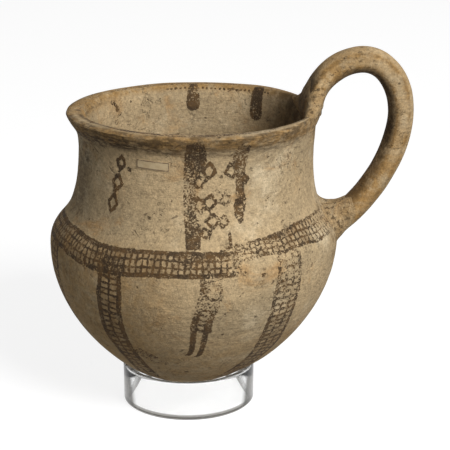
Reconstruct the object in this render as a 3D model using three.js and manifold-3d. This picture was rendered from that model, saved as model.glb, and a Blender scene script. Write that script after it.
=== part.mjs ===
// A hand-built clay tankard with a round base and a high loop handle, standing in a clear ring.
// Millimetres, +Z up, the handle along +X, the origin under the middle of the whole object.

import * as THREE from 'three';
import { mergeVertices } from 'three/addons/utils/BufferGeometryUtils.js';
import Module from 'manifold-3d';

const wasm = await Module();
wasm.setup();

// Clear display ring, a slice of tube
const RING_OUTER_RADIUS = 31.75;
const RING_WALL = 3.5;
const RING_HEIGHT = 18.5;
const RING_CHAMFER = 0.5;

// Outside of the pot: radii, and the rise from each level to the next
const BELLY_RADIUS = 68.2;
const BELLY_RISE = 70.5;
const NECK_RADIUS = 55.2;
const SHOULDER_RISE = 45.2;
const RIM_RADIUS = 61.0;
const FLARE_RISE = 17.0;
const LIP_CROWN = 1.4;
const LIP_WIDTH = 7.6;

// Fullness of the pot's curves, each as a share of the stretch that it bends
const BASE_FLATNESS = 0.47;
const BELLY_FULLNESS = 0.486;
const SHOULDER_FULLNESS = 0.379;
const NECK_FULLNESS = 0.858;
const FLARE_DELAY = 0.71;
const FLARE_STEEPNESS = 0.42;
const INSIDE_FLARE_DELAY = 0.6;
const INSIDE_FLARE_SPREAD = 0.5;

// Rounding of the lip: its overhang, its middle's rise and its two edges' drop, from the crown
const LIP_OVERHANG = 0.56;
const LIP_MIDDLE = 0.5;
const LIP_MIDDLE_RISE = 0.42;
const LIP_OUTER_DROP = 0.14;
const LIP_INNER_DROP = 0.28;

// Wall thickness
const BASE_WALL = 7.0;
const BELLY_WALL = 5.5;
const NECK_WALL = 5.0;

// Scarfed joint between the bowl and the neck coil that was added on it
const JOINT_RISE = 20.5;
const SCARF_RISE = 4.0;
const SCARF_TIP = 1.2;

// Unevenness of the hand building: lean and offset towards the handle, and the rim pressed in under it
const LEAN = 0.031;
const OFF_CENTRE = 1.0;
const OFF_CENTRE_RISE = 12.0;
const PINCHED_FLARE = 0.1;
const PINCH_ANGLE = 20;
const PINCH_RELEASE_ANGLE = 60;

// Loop handle: a strap of oval section, its reach and rise to the middle of the strap
const HANDLE_REACH = 95.1;
const HANDLE_RISE = 21.9;
const HANDLE_CROWN_REACH = 76.1;
const HANDLE_OUTERMOST_DROP = 26.3;
const HANDLE_FOOT_RISE = 7.5;
const HANDLE_FOOT_SLOPE = 34;
const HANDLE_THICKNESS = 12.6;
const HANDLE_DEPTH = 15.5;
const HANDLE_TIP_THICKNESS = 8.4;
const HANDLE_TIP_DEPTH = 29.0;
const HANDLE_TIP_SHIFT = 2.0;
const HANDLE_TIP_INSET = 1.4;
const HANDLE_FOOT_DEPTH = 19.0;
const HANDLE_SQUARENESS = 0.86;

// Fullness of the handle's middle line, each as a share of the stretch that it bends
const TIP_FULLNESS = 0.74;
const CROWN_INNER_FULLNESS = 0.39;
const CROWN_OUTER_FULLNESS = 0.49;
const BACK_UPPER_FULLNESS = 0.63;
const BACK_LOWER_FULLNESS = 0.39;
const FOOT_FULLNESS = 0.55;

// Peg at the handle's foot, pushed through the wall and trimmed inside
const PEG_RADIUS = 4.2;
const PEG_ROOT_RADIUS = 5.0;
const PEG_ROOT_LENGTH = 6.0;

// Clay pressed round the two ends of the handle
const FOOT_LUTING_LENGTH = 15.0;
const FOOT_LUTING_INNER_SPREAD = 8.0;
const FOOT_LUTING_OUTER_SPREAD = 2.2;
const FOOT_LUTING_SIDE_SPREAD = 5.0;
const FOOT_LUTING_EDGE = 0.5;
const RIM_LUTING_THICKNESS = 8.0;
const RIM_LUTING_WIDTH = 40.0;
const RIM_LUTING_HEIGHT = 15.0;
const RIM_LUTING_INSET = 0.8;

// Small paper label on the neck, its text left off
const LABEL_WIDTH = 15.5;
const LABEL_HEIGHT = 4.2;
const LABEL_PAPER = 0.25;
const LABEL_RISE = 2.0;
const LABEL_ANGLE = -109.5;

// Clearances
const CLAY_GAP = 0.3;
const SEAT_GAP = 0.3;
const LABEL_GAP = 0.3;

// Fineness of the surfaces
const AROUND = 60;
const SECTION_SIDES = 16;
const HANDLE_STEPS = 13;
const TIP_SHARE = 0.2;
const BURIED_SPREAD = 1.4;
const DENSE = 400;

const CLAY = { color: 0xb39f80, roughness: 0.92, metalness: 0 };
const DARKER_CLAY = { color: 0xa88f6c, roughness: 0.95, metalness: 0 };
const PAPER = { color: 0xcdbb95, roughness: 0.85, metalness: 0 };
const CLEAR_ACRYLIC = { color: 0xf2f5f5, roughness: 0.08, metalness: 0 };

const radians = THREE.MathUtils.degToRad;
const point = (r, z) => new THREE.Vector2(r, z);

// Levels, counted from the lowest point of the pot
const waistLevel = BELLY_RISE + SHOULDER_RISE;
const lipLevel = waistLevel + FLARE_RISE;
const crownLevel = lipLevel + LIP_CROWN;
const jointLevel = BELLY_RISE + JOINT_RISE;
const mouthRadius = RIM_RADIUS - LIP_WIDTH;

// The three curves of the outside, from the lowest point to the edge of the lip
function outsideCurves() {
  const belly = new THREE.CubicBezierCurve(
    point(0, 0),
    point(BELLY_RADIUS * BASE_FLATNESS, 0),
    point(BELLY_RADIUS, BELLY_RISE * (1 - BELLY_FULLNESS)),
    point(BELLY_RADIUS, BELLY_RISE),
  );
  const shoulder = new THREE.CubicBezierCurve(
    point(BELLY_RADIUS, BELLY_RISE),
    point(BELLY_RADIUS, BELLY_RISE + SHOULDER_RISE * SHOULDER_FULLNESS),
    point(NECK_RADIUS, waistLevel - SHOULDER_RISE * NECK_FULLNESS),
    point(NECK_RADIUS, waistLevel),
  );
  const flare = new THREE.CubicBezierCurve(
    point(NECK_RADIUS, waistLevel),
    point(NECK_RADIUS, waistLevel + FLARE_RISE * FLARE_DELAY),
    point(RIM_RADIUS - (RIM_RADIUS - NECK_RADIUS) * FLARE_STEEPNESS, lipLevel - FLARE_RISE * FLARE_STEEPNESS),
    point(RIM_RADIUS, lipLevel),
  );
  return { belly, shoulder, flare };
}

const outside = outsideCurves();

// Round top of the lip, from its outer edge to the edge of the mouth
const lip = new THREE.CubicBezierCurve(
  point(RIM_RADIUS, lipLevel),
  point(RIM_RADIUS + LIP_OVERHANG, crownLevel - LIP_OUTER_DROP),
  point(RIM_RADIUS - LIP_WIDTH * LIP_MIDDLE, crownLevel + LIP_MIDDLE_RISE),
  point(mouthRadius, crownLevel - LIP_INNER_DROP),
);

// Inside of the neck, from the waist to the edge of the mouth
const insideFlare = new THREE.CubicBezierCurve(
  point(NECK_RADIUS - NECK_WALL, waistLevel),
  point(NECK_RADIUS - NECK_WALL, waistLevel + FLARE_RISE * INSIDE_FLARE_DELAY),
  point(mouthRadius - NECK_WALL * INSIDE_FLARE_SPREAD, lipLevel - LIP_CROWN),
  point(mouthRadius, crownLevel - LIP_INNER_DROP),
);

// Wall thickness at a level, thick at the base and thinning to the neck
function wallAt(level) {
  if (level < BELLY_RISE) {
    return THREE.MathUtils.lerp(BASE_WALL, BELLY_WALL, level / BELLY_RISE);
  }
  const share = Math.min((level - BELLY_RISE) / SHOULDER_RISE, 1);
  return THREE.MathUtils.lerp(BELLY_WALL, NECK_WALL, share);
}

// A curve's points moved to its left, which is into the clay, by a distance for each point
function movedIn(curve, count, distance) {
  const points = [];
  for (let i = 0; i <= count; i += 1) {
    const at = curve.getPoint(i / count);
    const along = curve.getTangent(i / count);
    const depth = distance(at.y);
    points.push(point(Math.max(at.x - along.y * depth, 0), at.y + along.x * depth));
  }
  return points;
}

// Points of several stretches in a row, each stretch starting where the last one ended
function joined(...stretches) {
  return stretches.flatMap((stretch, index) => (index === 0 ? stretch : stretch.slice(1)));
}

function outsidePoints(bellySteps, shoulderSteps, flareSteps) {
  return joined(
    outside.belly.getPoints(bellySteps),
    outside.shoulder.getPoints(shoulderSteps),
    outside.flare.getPoints(flareSteps),
  );
}

function insidePoints(bellySteps, shoulderSteps, flareSteps) {
  return joined(
    movedIn(outside.belly, bellySteps, wallAt),
    movedIn(outside.shoulder, shoulderSteps, wallAt),
    insideFlare.getPoints(flareSteps),
  );
}

// Radius of a rising outline at a level
function radiusAt(points, level) {
  const next = points.findIndex((p) => p.y >= level);
  const upper = points[Math.max(next, 1)];
  const lower = points[Math.max(next, 1) - 1];
  return THREE.MathUtils.mapLinear(level, lower.y, upper.y, lower.x, upper.x);
}

const denseOutside = outsidePoints(DENSE, DENSE, DENSE);
const denseInside = insidePoints(DENSE, DENSE, DENSE);

// Height of the pot's lowest point above the table, with the base seated in the ring's mouth
function seatHeight() {
  const bore = RING_OUTER_RADIUS - RING_WALL;
  const corners = [point(bore, RING_HEIGHT - RING_CHAMFER), point(bore + RING_CHAMFER, RING_HEIGHT)];
  const heights = corners.map((corner) => {
    const next = denseOutside.findIndex((p) => p.x >= corner.x);
    const upper = denseOutside[next];
    const lower = denseOutside[next - 1];
    const level = THREE.MathUtils.mapLinear(corner.x, lower.x, upper.x, lower.y, upper.y);
    const slope = Math.atan2(upper.y - lower.y, upper.x - lower.x);
    return corner.y + SEAT_GAP / Math.cos(slope) - level;
  });
  return Math.max(...heights);
}

const potBase = seatHeight();

// Solid of revolution about Z from an outline of radius and height
function turned(points, lift = 0) {
  const geometry = new THREE.LatheGeometry(points, AROUND);
  geometry.rotateX(Math.PI / 2);
  geometry.translate(0, 0, lift);
  return geometry;
}

// Share of the flare that is left at an angle from the handle
function flareShare(angle) {
  const away = Math.abs(THREE.MathUtils.radToDeg(angle));
  return THREE.MathUtils.lerp(PINCHED_FLARE, 1, THREE.MathUtils.smoothstep(away, PINCH_ANGLE, PINCH_RELEASE_ANGLE));
}

// The rim pressed in beside the handle, and then the lean of the whole pot
function handBuilt(geometry, pressed = true) {
  const position = geometry.attributes.position;
  const waist = potBase + waistLevel;
  for (let i = 0; i < position.count; i += 1) {
    const x = position.getX(i);
    const y = position.getY(i);
    const z = position.getZ(i);
    const radius = Math.hypot(x, y);
    let scale = 1;
    if (pressed && z > waist && radius > NECK_RADIUS) {
      scale = (NECK_RADIUS + (radius - NECK_RADIUS) * flareShare(Math.atan2(y, x))) / radius;
    }
    const offset = OFF_CENTRE * THREE.MathUtils.smoothstep(z, RING_HEIGHT, RING_HEIGHT + OFF_CENTRE_RISE);
    position.setXYZ(i, x * scale + offset + LEAN * (z - RING_HEIGHT), y * scale, z);
  }
  return geometry;
}

// A closed geometry as a solid for cutting and joining
function solid(geometry) {
  const bare = geometry.clone();
  bare.deleteAttribute('normal');
  bare.deleteAttribute('uv');
  const merged = mergeVertices(bare, 1e-4);
  const index = merged.index.array;
  const kept = [];
  for (let i = 0; i < index.length; i += 3) {
    const [a, b, c] = [index[i], index[i + 1], index[i + 2]];
    if (a !== b && b !== c && c !== a) {
      kept.push(a, b, c);
    }
  }
  return new wasm.Manifold(new wasm.Mesh({
    numProp: 3,
    vertProperties: new Float32Array(merged.attributes.position.array),
    triVerts: new Uint32Array(kept),
  }));
}

function geometryOf(body) {
  const mesh = body.getMesh();
  const geometry = new THREE.BufferGeometry();
  geometry.setAttribute('position', new THREE.BufferAttribute(mesh.vertProperties, 3));
  geometry.setIndex(new THREE.BufferAttribute(mesh.triVerts, 1));
  geometry.computeVertexNormals();
  return geometry;
}

// The pot as if it were full to the mouth, grown by a gap: what the handle and its clay are cut by
function fullPot(gap) {
  const grow = () => -gap;
  const lipTop = movedIn(lip, 5, grow);
  const mouth = lipTop[lipTop.length - 1];
  return solid(handBuilt(turned([
    point(0, -gap),
    ...joined(
      movedIn(outside.belly, 12, grow),
      movedIn(outside.shoulder, 12, grow),
      movedIn(outside.flare, 6, grow),
      lipTop,
    ).slice(1),
    point(0, mouth.y),
  ], potBase)));
}

// The hollow of the pot up to the waist, for trimming the peg flush inside
function hollow() {
  const wall = joined(movedIn(outside.belly, 12, wallAt), movedIn(outside.shoulder, 12, wallAt));
  return solid(handBuilt(turned([...wall, point(0, waistLevel)], potBase)));
}

// Middle line of the handle in the XZ plane, from the rim over the loop to the wall
function handleCurves() {
  const foot = point(radiusAt(denseOutside, BELLY_RISE + HANDLE_FOOT_RISE), BELLY_RISE + HANDLE_FOOT_RISE);
  const tip = point(NECK_RADIUS - HANDLE_TIP_INSET, lipLevel - LIP_CROWN);
  const crown = point(HANDLE_CROWN_REACH, crownLevel + HANDLE_RISE);
  const outermost = point(HANDLE_REACH, crown.y - HANDLE_OUTERMOST_DROP);
  const footSlope = radians(HANDLE_FOOT_SLOPE);
  const footPull = (HANDLE_REACH - foot.x) * FOOT_FULLNESS;
  return [
    new THREE.CubicBezierCurve(
      tip,
      point(tip.x, tip.y + (crown.y - tip.y) * TIP_FULLNESS),
      point(crown.x - (crown.x - tip.x) * CROWN_INNER_FULLNESS, crown.y),
      crown,
    ),
    new THREE.CubicBezierCurve(
      crown,
      point(crown.x + (outermost.x - crown.x) * CROWN_OUTER_FULLNESS, crown.y),
      point(outermost.x, outermost.y + HANDLE_OUTERMOST_DROP * BACK_UPPER_FULLNESS),
      outermost,
    ),
    new THREE.CubicBezierCurve(
      outermost,
      point(outermost.x, outermost.y - (outermost.y - foot.y) * BACK_LOWER_FULLNESS),
      point(foot.x + footPull * Math.cos(footSlope), foot.y + footPull * Math.sin(footSlope)),
      foot,
    ),
  ];
}

// Stations along the middle line: place, direction and the share of the whole length
function handleStations() {
  const stations = [];
  handleCurves().forEach((curve, part) => {
    for (let i = part === 0 ? 0 : 1; i <= HANDLE_STEPS; i += 1) {
      const share = (part + i / HANDLE_STEPS) / 3;
      stations.push({ at: curve.getPoint(i / HANDLE_STEPS), along: curve.getTangent(i / HANDLE_STEPS), share });
    }
  });
  const last = stations[stations.length - 1];
  const buried = last.at.clone().addScaledVector(last.along, BELLY_WALL);
  stations.push({ at: buried, along: last.along, share: 1 });
  return stations;
}

const stations = handleStations();

// How far a place on the strap belongs to the tip on the rim, and to the foot on the wall
function endShares(share) {
  const tip = 1 - THREE.MathUtils.smoothstep(share, 0, TIP_SHARE);
  const foot = THREE.MathUtils.smoothstep(share, 1 - TIP_SHARE, 1);
  return { tip, foot };
}

// Size of the strap at a share of its length: inwards and outwards of the middle line, and sideways
function strapSize(share, gap) {
  const { tip, foot } = endShares(share);
  const half = THREE.MathUtils.lerp(HANDLE_THICKNESS, HANDLE_TIP_THICKNESS, tip) / 2 + gap;
  const depth = HANDLE_DEPTH + (HANDLE_TIP_DEPTH - HANDLE_DEPTH) * tip + (HANDLE_FOOT_DEPTH - HANDLE_DEPTH) * foot;
  return { inner: half, outer: half, side: depth / 2 + gap, bend: tip + foot, shift: HANDLE_TIP_SHIFT * tip };
}

// A cosine or sine drawn towards the sides of a rounded oblong
function squared(value) {
  return Math.sign(value) * Math.abs(value) ** HANDLE_SQUARENESS;
}

// One closed ring of a section, its sides bent back round the pot where the bend says so
function sectionRing(station, size) {
  const ring = [];
  for (let side = 0; side < SECTION_SIDES; side += 1) {
    const angle = (2 * Math.PI * side) / SECTION_SIDES;
    const across = squared(Math.cos(angle)) * (Math.cos(angle) > 0 ? size.inner : size.outer);
    const y = squared(Math.sin(angle)) * size.side + size.shift;
    const x = station.at.x + station.along.y * across - (size.bend * y * y) / (2 * NECK_RADIUS);
    const z = station.at.y - station.along.x * across;
    ring.push(new THREE.Vector3(x, y, z + potBase));
  }
  return ring;
}

// Rings of equal count skinned into one closed body with a flat cap at each end
function skinned(rings) {
  const sides = rings[0].length;
  const vertices = rings.flat();
  const index = [];
  for (let row = 0; row < rings.length - 1; row += 1) {
    for (let side = 0; side < sides; side += 1) {
      const a = row * sides + side;
      const b = row * sides + ((side + 1) % sides);
      index.push(a, b, a + sides, b, b + sides, a + sides);
    }
  }
  const lastRow = (rings.length - 1) * sides;
  for (let side = 1; side < sides - 1; side += 1) {
    index.push(0, side + 1, side);
    index.push(lastRow, lastRow + side, lastRow + side + 1);
  }
  const geometry = new THREE.BufferGeometry().setFromPoints(vertices);
  geometry.setIndex(index);
  return geometry;
}

// The whole strap, grown by a gap where it is a cutter
function strap(gap) {
  const rings = stations.map((station) => sectionRing(station, strapSize(station.share, gap)));
  return solid(handBuilt(skinned(rings), false));
}

// The peg along the foot's direction, from inside the strap to past the inner wall
function peg(gap) {
  const foot = stations[stations.length - 2];
  const through = (BELLY_WALL + BASE_WALL) / Math.cos(radians(HANDLE_FOOT_SLOPE));
  const inward = new THREE.Vector3(foot.along.x, 0, foot.along.y);
  const geometry = new THREE.CylinderGeometry(
    PEG_ROOT_RADIUS + gap,
    PEG_RADIUS + gap,
    PEG_ROOT_LENGTH + through,
    20,
  );
  geometry.translate(0, (PEG_ROOT_LENGTH - through) / 2, 0);
  geometry.applyQuaternion(new THREE.Quaternion().setFromUnitVectors(new THREE.Vector3(0, -1, 0), inward));
  geometry.translate(foot.at.x, 0, foot.at.y + potBase);
  return geometry;
}

function bowl() {
  const outer = outsidePoints(13, 11, 1).filter((p) => p.y < jointLevel - 1);
  const inner = insidePoints(11, 9, 1).filter((p) => p.y < jointLevel + SCARF_RISE - 1);
  const outerEdge = radiusAt(denseOutside, jointLevel);
  const innerEdge = radiusAt(denseInside, jointLevel + SCARF_RISE);
  const ledge = (outerEdge + radiusAt(denseInside, jointLevel)) / 2;
  return turned([
    ...outer,
    point(outerEdge, jointLevel),
    point(ledge, jointLevel),
    point(innerEdge + SCARF_TIP, jointLevel + SCARF_RISE),
    point(innerEdge, jointLevel + SCARF_RISE),
    ...inner.reverse(),
  ], potBase);
}

function neck() {
  const outer = outsidePoints(1, 11, 7).filter((p) => p.y > jointLevel + 1);
  const inner = insidePoints(1, 9, 7).filter((p) => p.y > jointLevel + SCARF_RISE + CLAY_GAP + 1);
  const outerEdge = radiusAt(denseOutside, jointLevel);
  const innerLevel = jointLevel + SCARF_RISE + CLAY_GAP;
  const innerEdge = radiusAt(denseInside, innerLevel);
  const ledge = (outerEdge + radiusAt(denseInside, jointLevel)) / 2;
  const outline = [
    point(ledge + CLAY_GAP, jointLevel),
    point(outerEdge, jointLevel),
    ...joined(outer, lip.getPoints(6)),
    ...inner.reverse().slice(1),
    point(innerEdge, innerLevel),
    point(innerEdge + SCARF_TIP + CLAY_GAP, innerLevel),
  ];
  return turned([...outline, outline[0].clone()], potBase);
}

// Collar of clay spread from the strap on to the wall round the handle's foot
function footLuting() {
  const foot = stations[stations.length - 2];
  const near = stations.filter((s) => s.at.distanceTo(foot.at) < FOOT_LUTING_LENGTH && s.share > 0.5);
  const rings = near.map((station) => {
    const size = strapSize(station.share, FOOT_LUTING_EDGE);
    const closeness = (1 - Math.min(station.at.distanceTo(foot.at) / FOOT_LUTING_LENGTH, 1)) ** 3;
    const spread = station === near[near.length - 1] ? BURIED_SPREAD : closeness;
    return sectionRing(station, {
      inner: size.inner + FOOT_LUTING_INNER_SPREAD * spread,
      outer: size.outer + FOOT_LUTING_OUTER_SPREAD * spread,
      side: size.side + FOOT_LUTING_SIDE_SPREAD * spread,
      bend: size.bend,
      shift: size.shift,
    });
  });
  return solid(handBuilt(skinned(rings), false));
}

// Wad of clay pressed over the lip on both sides of the handle's upper end
function rimLuting() {
  const geometry = new THREE.SphereGeometry(0.5, 20, 14);
  geometry.scale(RIM_LUTING_THICKNESS, RIM_LUTING_WIDTH, RIM_LUTING_HEIGHT);
  geometry.translate(0, HANDLE_TIP_SHIFT, 0);
  const position = geometry.attributes.position;
  for (let i = 0; i < position.count; i += 1) {
    position.setX(i, position.getX(i) - position.getY(i) ** 2 / (2 * NECK_RADIUS));
  }
  geometry.translate(NECK_RADIUS - RIM_LUTING_INSET, 0, potBase + lipLevel);
  return solid(handBuilt(geometry, false));
}

function label() {
  const surface = radiusAt(denseOutside, waistLevel + LABEL_RISE + LABEL_HEIGHT) + LABEL_GAP;
  const halfAngle = LABEL_WIDTH / surface / 2;
  const outline = new THREE.Shape();
  outline.absarc(0, 0, surface + LABEL_PAPER, -halfAngle, halfAngle, false);
  outline.absarc(0, 0, surface, halfAngle, -halfAngle, true);
  const geometry = new THREE.ExtrudeGeometry(outline, {
    depth: LABEL_HEIGHT,
    bevelEnabled: false,
    curveSegments: 8,
  });
  geometry.rotateZ(radians(LABEL_ANGLE));
  geometry.translate(0, 0, potBase + waistLevel + LABEL_RISE);
  return handBuilt(geometry, false);
}

function displayRing() {
  const bore = RING_OUTER_RADIUS - RING_WALL;
  const outline = [
    point(bore + RING_CHAMFER, 0),
    point(RING_OUTER_RADIUS - RING_CHAMFER, 0),
    point(RING_OUTER_RADIUS, RING_CHAMFER),
    point(RING_OUTER_RADIUS, RING_HEIGHT - RING_CHAMFER),
    point(RING_OUTER_RADIUS - RING_CHAMFER, RING_HEIGHT),
    point(bore + RING_CHAMFER, RING_HEIGHT),
    point(bore, RING_HEIGHT - RING_CHAMFER),
    point(bore, RING_CHAMFER),
  ];
  return turned([...outline, outline[0].clone()]);
}

function named(name, geometry, finish) {
  const mesh = new THREE.Mesh(geometry, new THREE.MeshStandardMaterial(finish));
  mesh.name = name;
  return mesh;
}

const pot = fullPot(CLAY_GAP);
const strapCutter = strap(CLAY_GAP);
const pegSolid = solid(handBuilt(peg(0), false));
const pegHole = solid(handBuilt(peg(CLAY_GAP), false));
const handleSolid = strap(0).subtract(pot).add(pegSolid).subtract(hollow());
const bowlSolid = solid(handBuilt(bowl())).subtract(pegHole);
const footLutingSolid = footLuting().subtract(strapCutter).subtract(pot);
const rimLutingSolid = rimLuting().subtract(strapCutter).subtract(pot);

const group = new THREE.Group();
group.add(
  named('display_ring', displayRing(), { ...CLEAR_ACRYLIC, transparent: true, opacity: 0.3 }),
  named('bowl', geometryOf(bowlSolid), CLAY),
  named('neck', handBuilt(neck()), CLAY),
  named('handle', geometryOf(handleSolid), CLAY),
  named('lower_luting', geometryOf(footLutingSolid), DARKER_CLAY),
  named('upper_luting', geometryOf(rimLutingSolid), DARKER_CLAY),
  named('inventory_label', label(), PAPER),
);

// The origin goes under the middle of the object's box
const box = new THREE.Box3().setFromObject(group, true);
group.position.set(-(box.min.x + box.max.x) / 2, -(box.min.y + box.max.y) / 2, -box.min.z);

export default group;
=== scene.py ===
"""Dresses a hand-built, painted clay tankard that stands in a clear display ring.

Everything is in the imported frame: metres, +Z up, the handle along +X. The pot's own
sizes and its painted plan are in millimetres, and are scaled where vertices are made.
Levels count up from the pot's lowest point, and angles are degrees round its axis,
from the handle, anticlockwise seen from above.
"""

from __future__ import annotations

import logging
import math
from dataclasses import dataclass, field
from enum import Enum
from functools import reduce
from typing import Sequence

import bpy
import numpy as np
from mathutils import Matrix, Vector, noise

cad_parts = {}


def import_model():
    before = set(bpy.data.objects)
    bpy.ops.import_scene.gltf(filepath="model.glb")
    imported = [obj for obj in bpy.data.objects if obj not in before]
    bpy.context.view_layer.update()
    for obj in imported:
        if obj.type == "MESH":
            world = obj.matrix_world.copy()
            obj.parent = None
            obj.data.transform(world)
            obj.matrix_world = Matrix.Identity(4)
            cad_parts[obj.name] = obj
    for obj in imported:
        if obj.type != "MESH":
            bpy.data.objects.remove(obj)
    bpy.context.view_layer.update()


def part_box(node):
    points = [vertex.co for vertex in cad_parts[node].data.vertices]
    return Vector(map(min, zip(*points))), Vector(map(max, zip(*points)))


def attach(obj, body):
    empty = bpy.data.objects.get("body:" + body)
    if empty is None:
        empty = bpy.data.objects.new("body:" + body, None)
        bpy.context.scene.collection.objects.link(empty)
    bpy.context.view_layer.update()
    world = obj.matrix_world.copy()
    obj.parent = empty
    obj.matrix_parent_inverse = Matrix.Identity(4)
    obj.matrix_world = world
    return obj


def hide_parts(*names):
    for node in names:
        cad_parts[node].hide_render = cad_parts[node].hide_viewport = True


log = logging.getLogger("tankard")

MM = 0.001
FULL_TURN = 2 * math.pi
TANKARD_BODY = "tankard"
STAND_BODY = "stand"
CLAY_SLOT = "slipped_clay"
LUTING_SLOT = "luting_clay"

Colour = tuple[float, float, float]
Pair = tuple[float, float]
Array = np.ndarray
Piece = bpy.types.Object
Socket = bpy.types.NodeSocket
Tree = bpy.types.NodeTree


# Curves and small sums


def smooth_step(low: float, high: float, value: object) -> Array:
    """Rises smoothly from 0 at low to 1 at high."""
    share = np.clip((np.asarray(value, float) - low) / (high - low), 0, 1)
    return share * share * (3 - 2 * share)


def hump(low: float, high: float, edge: float, value: object) -> Array:
    """1 from low to high and 0 well outside them, with slopes as wide as edge."""
    return smooth_step(low - edge, low, value) * (1 - smooth_step(high, high + edge, value))


def bezier(points: Sequence[Pair], count: int) -> Array:
    """Points along a cubic curve.

    Args:
        points: the four control points.
        count: how many steps.

    Returns:
        An array of count + 1 points.
    """
    t = np.linspace(0, 1, count + 1)[:, None]
    p, u = np.array(points, float), 1 - t
    return u**3 * p[0] + 3 * u**2 * t * p[1] + 3 * u * t**2 * p[2] + t**3 * p[3]


def evenly(points: Array, spacing: float) -> Array:
    """Points at about equal distances along an outline.

    Args:
        points: the outline.
        spacing: the distance wanted.

    Returns:
        The new outline, with the same ends.
    """
    run = lengths(points)
    marks = np.linspace(0, run[-1], max(int(round(run[-1] / spacing)), 1) + 1)
    return np.stack([np.interp(marks, run, points[:, i]) for i in range(points.shape[1])], 1)


def lengths(outline: Array) -> Array:
    """Length of an outline up to each of its points."""
    return np.concatenate([[0], np.cumsum(np.linalg.norm(np.diff(outline, axis=0), axis=1))])


def lumps(places: Array, size: float, seed: float) -> Array:
    """Smooth random heights, mostly from -1 to 1.

    Args:
        places: points in millimetres.
        size: the size of a lump in millimetres.
        seed: where in the noise the piece lies.

    Returns:
        A height for each point.
    """
    shift = Vector((seed, seed * 0.7, -seed))
    heights = [noise.noise(Vector(place) / size + shift) for place in places.reshape(-1, 3)]
    return np.array(heights).reshape(places.shape[:-1])


def squared(value: Array, power: float) -> Array:
    """A sine or cosine pushed out towards a square."""
    return np.sign(value) * np.abs(value) ** power


@dataclass(frozen=True)
class Zone:
    """A stretch of levels, angles or lengths with soft ends."""

    low: float
    high: float
    edge: float

    def share(self, value: object, start: float = 0.0) -> Array:
        """1 in the zone and 0 well outside it, with the zone counted from a start."""
        return hump(start + self.low, start + self.high, self.edge, value)


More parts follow.
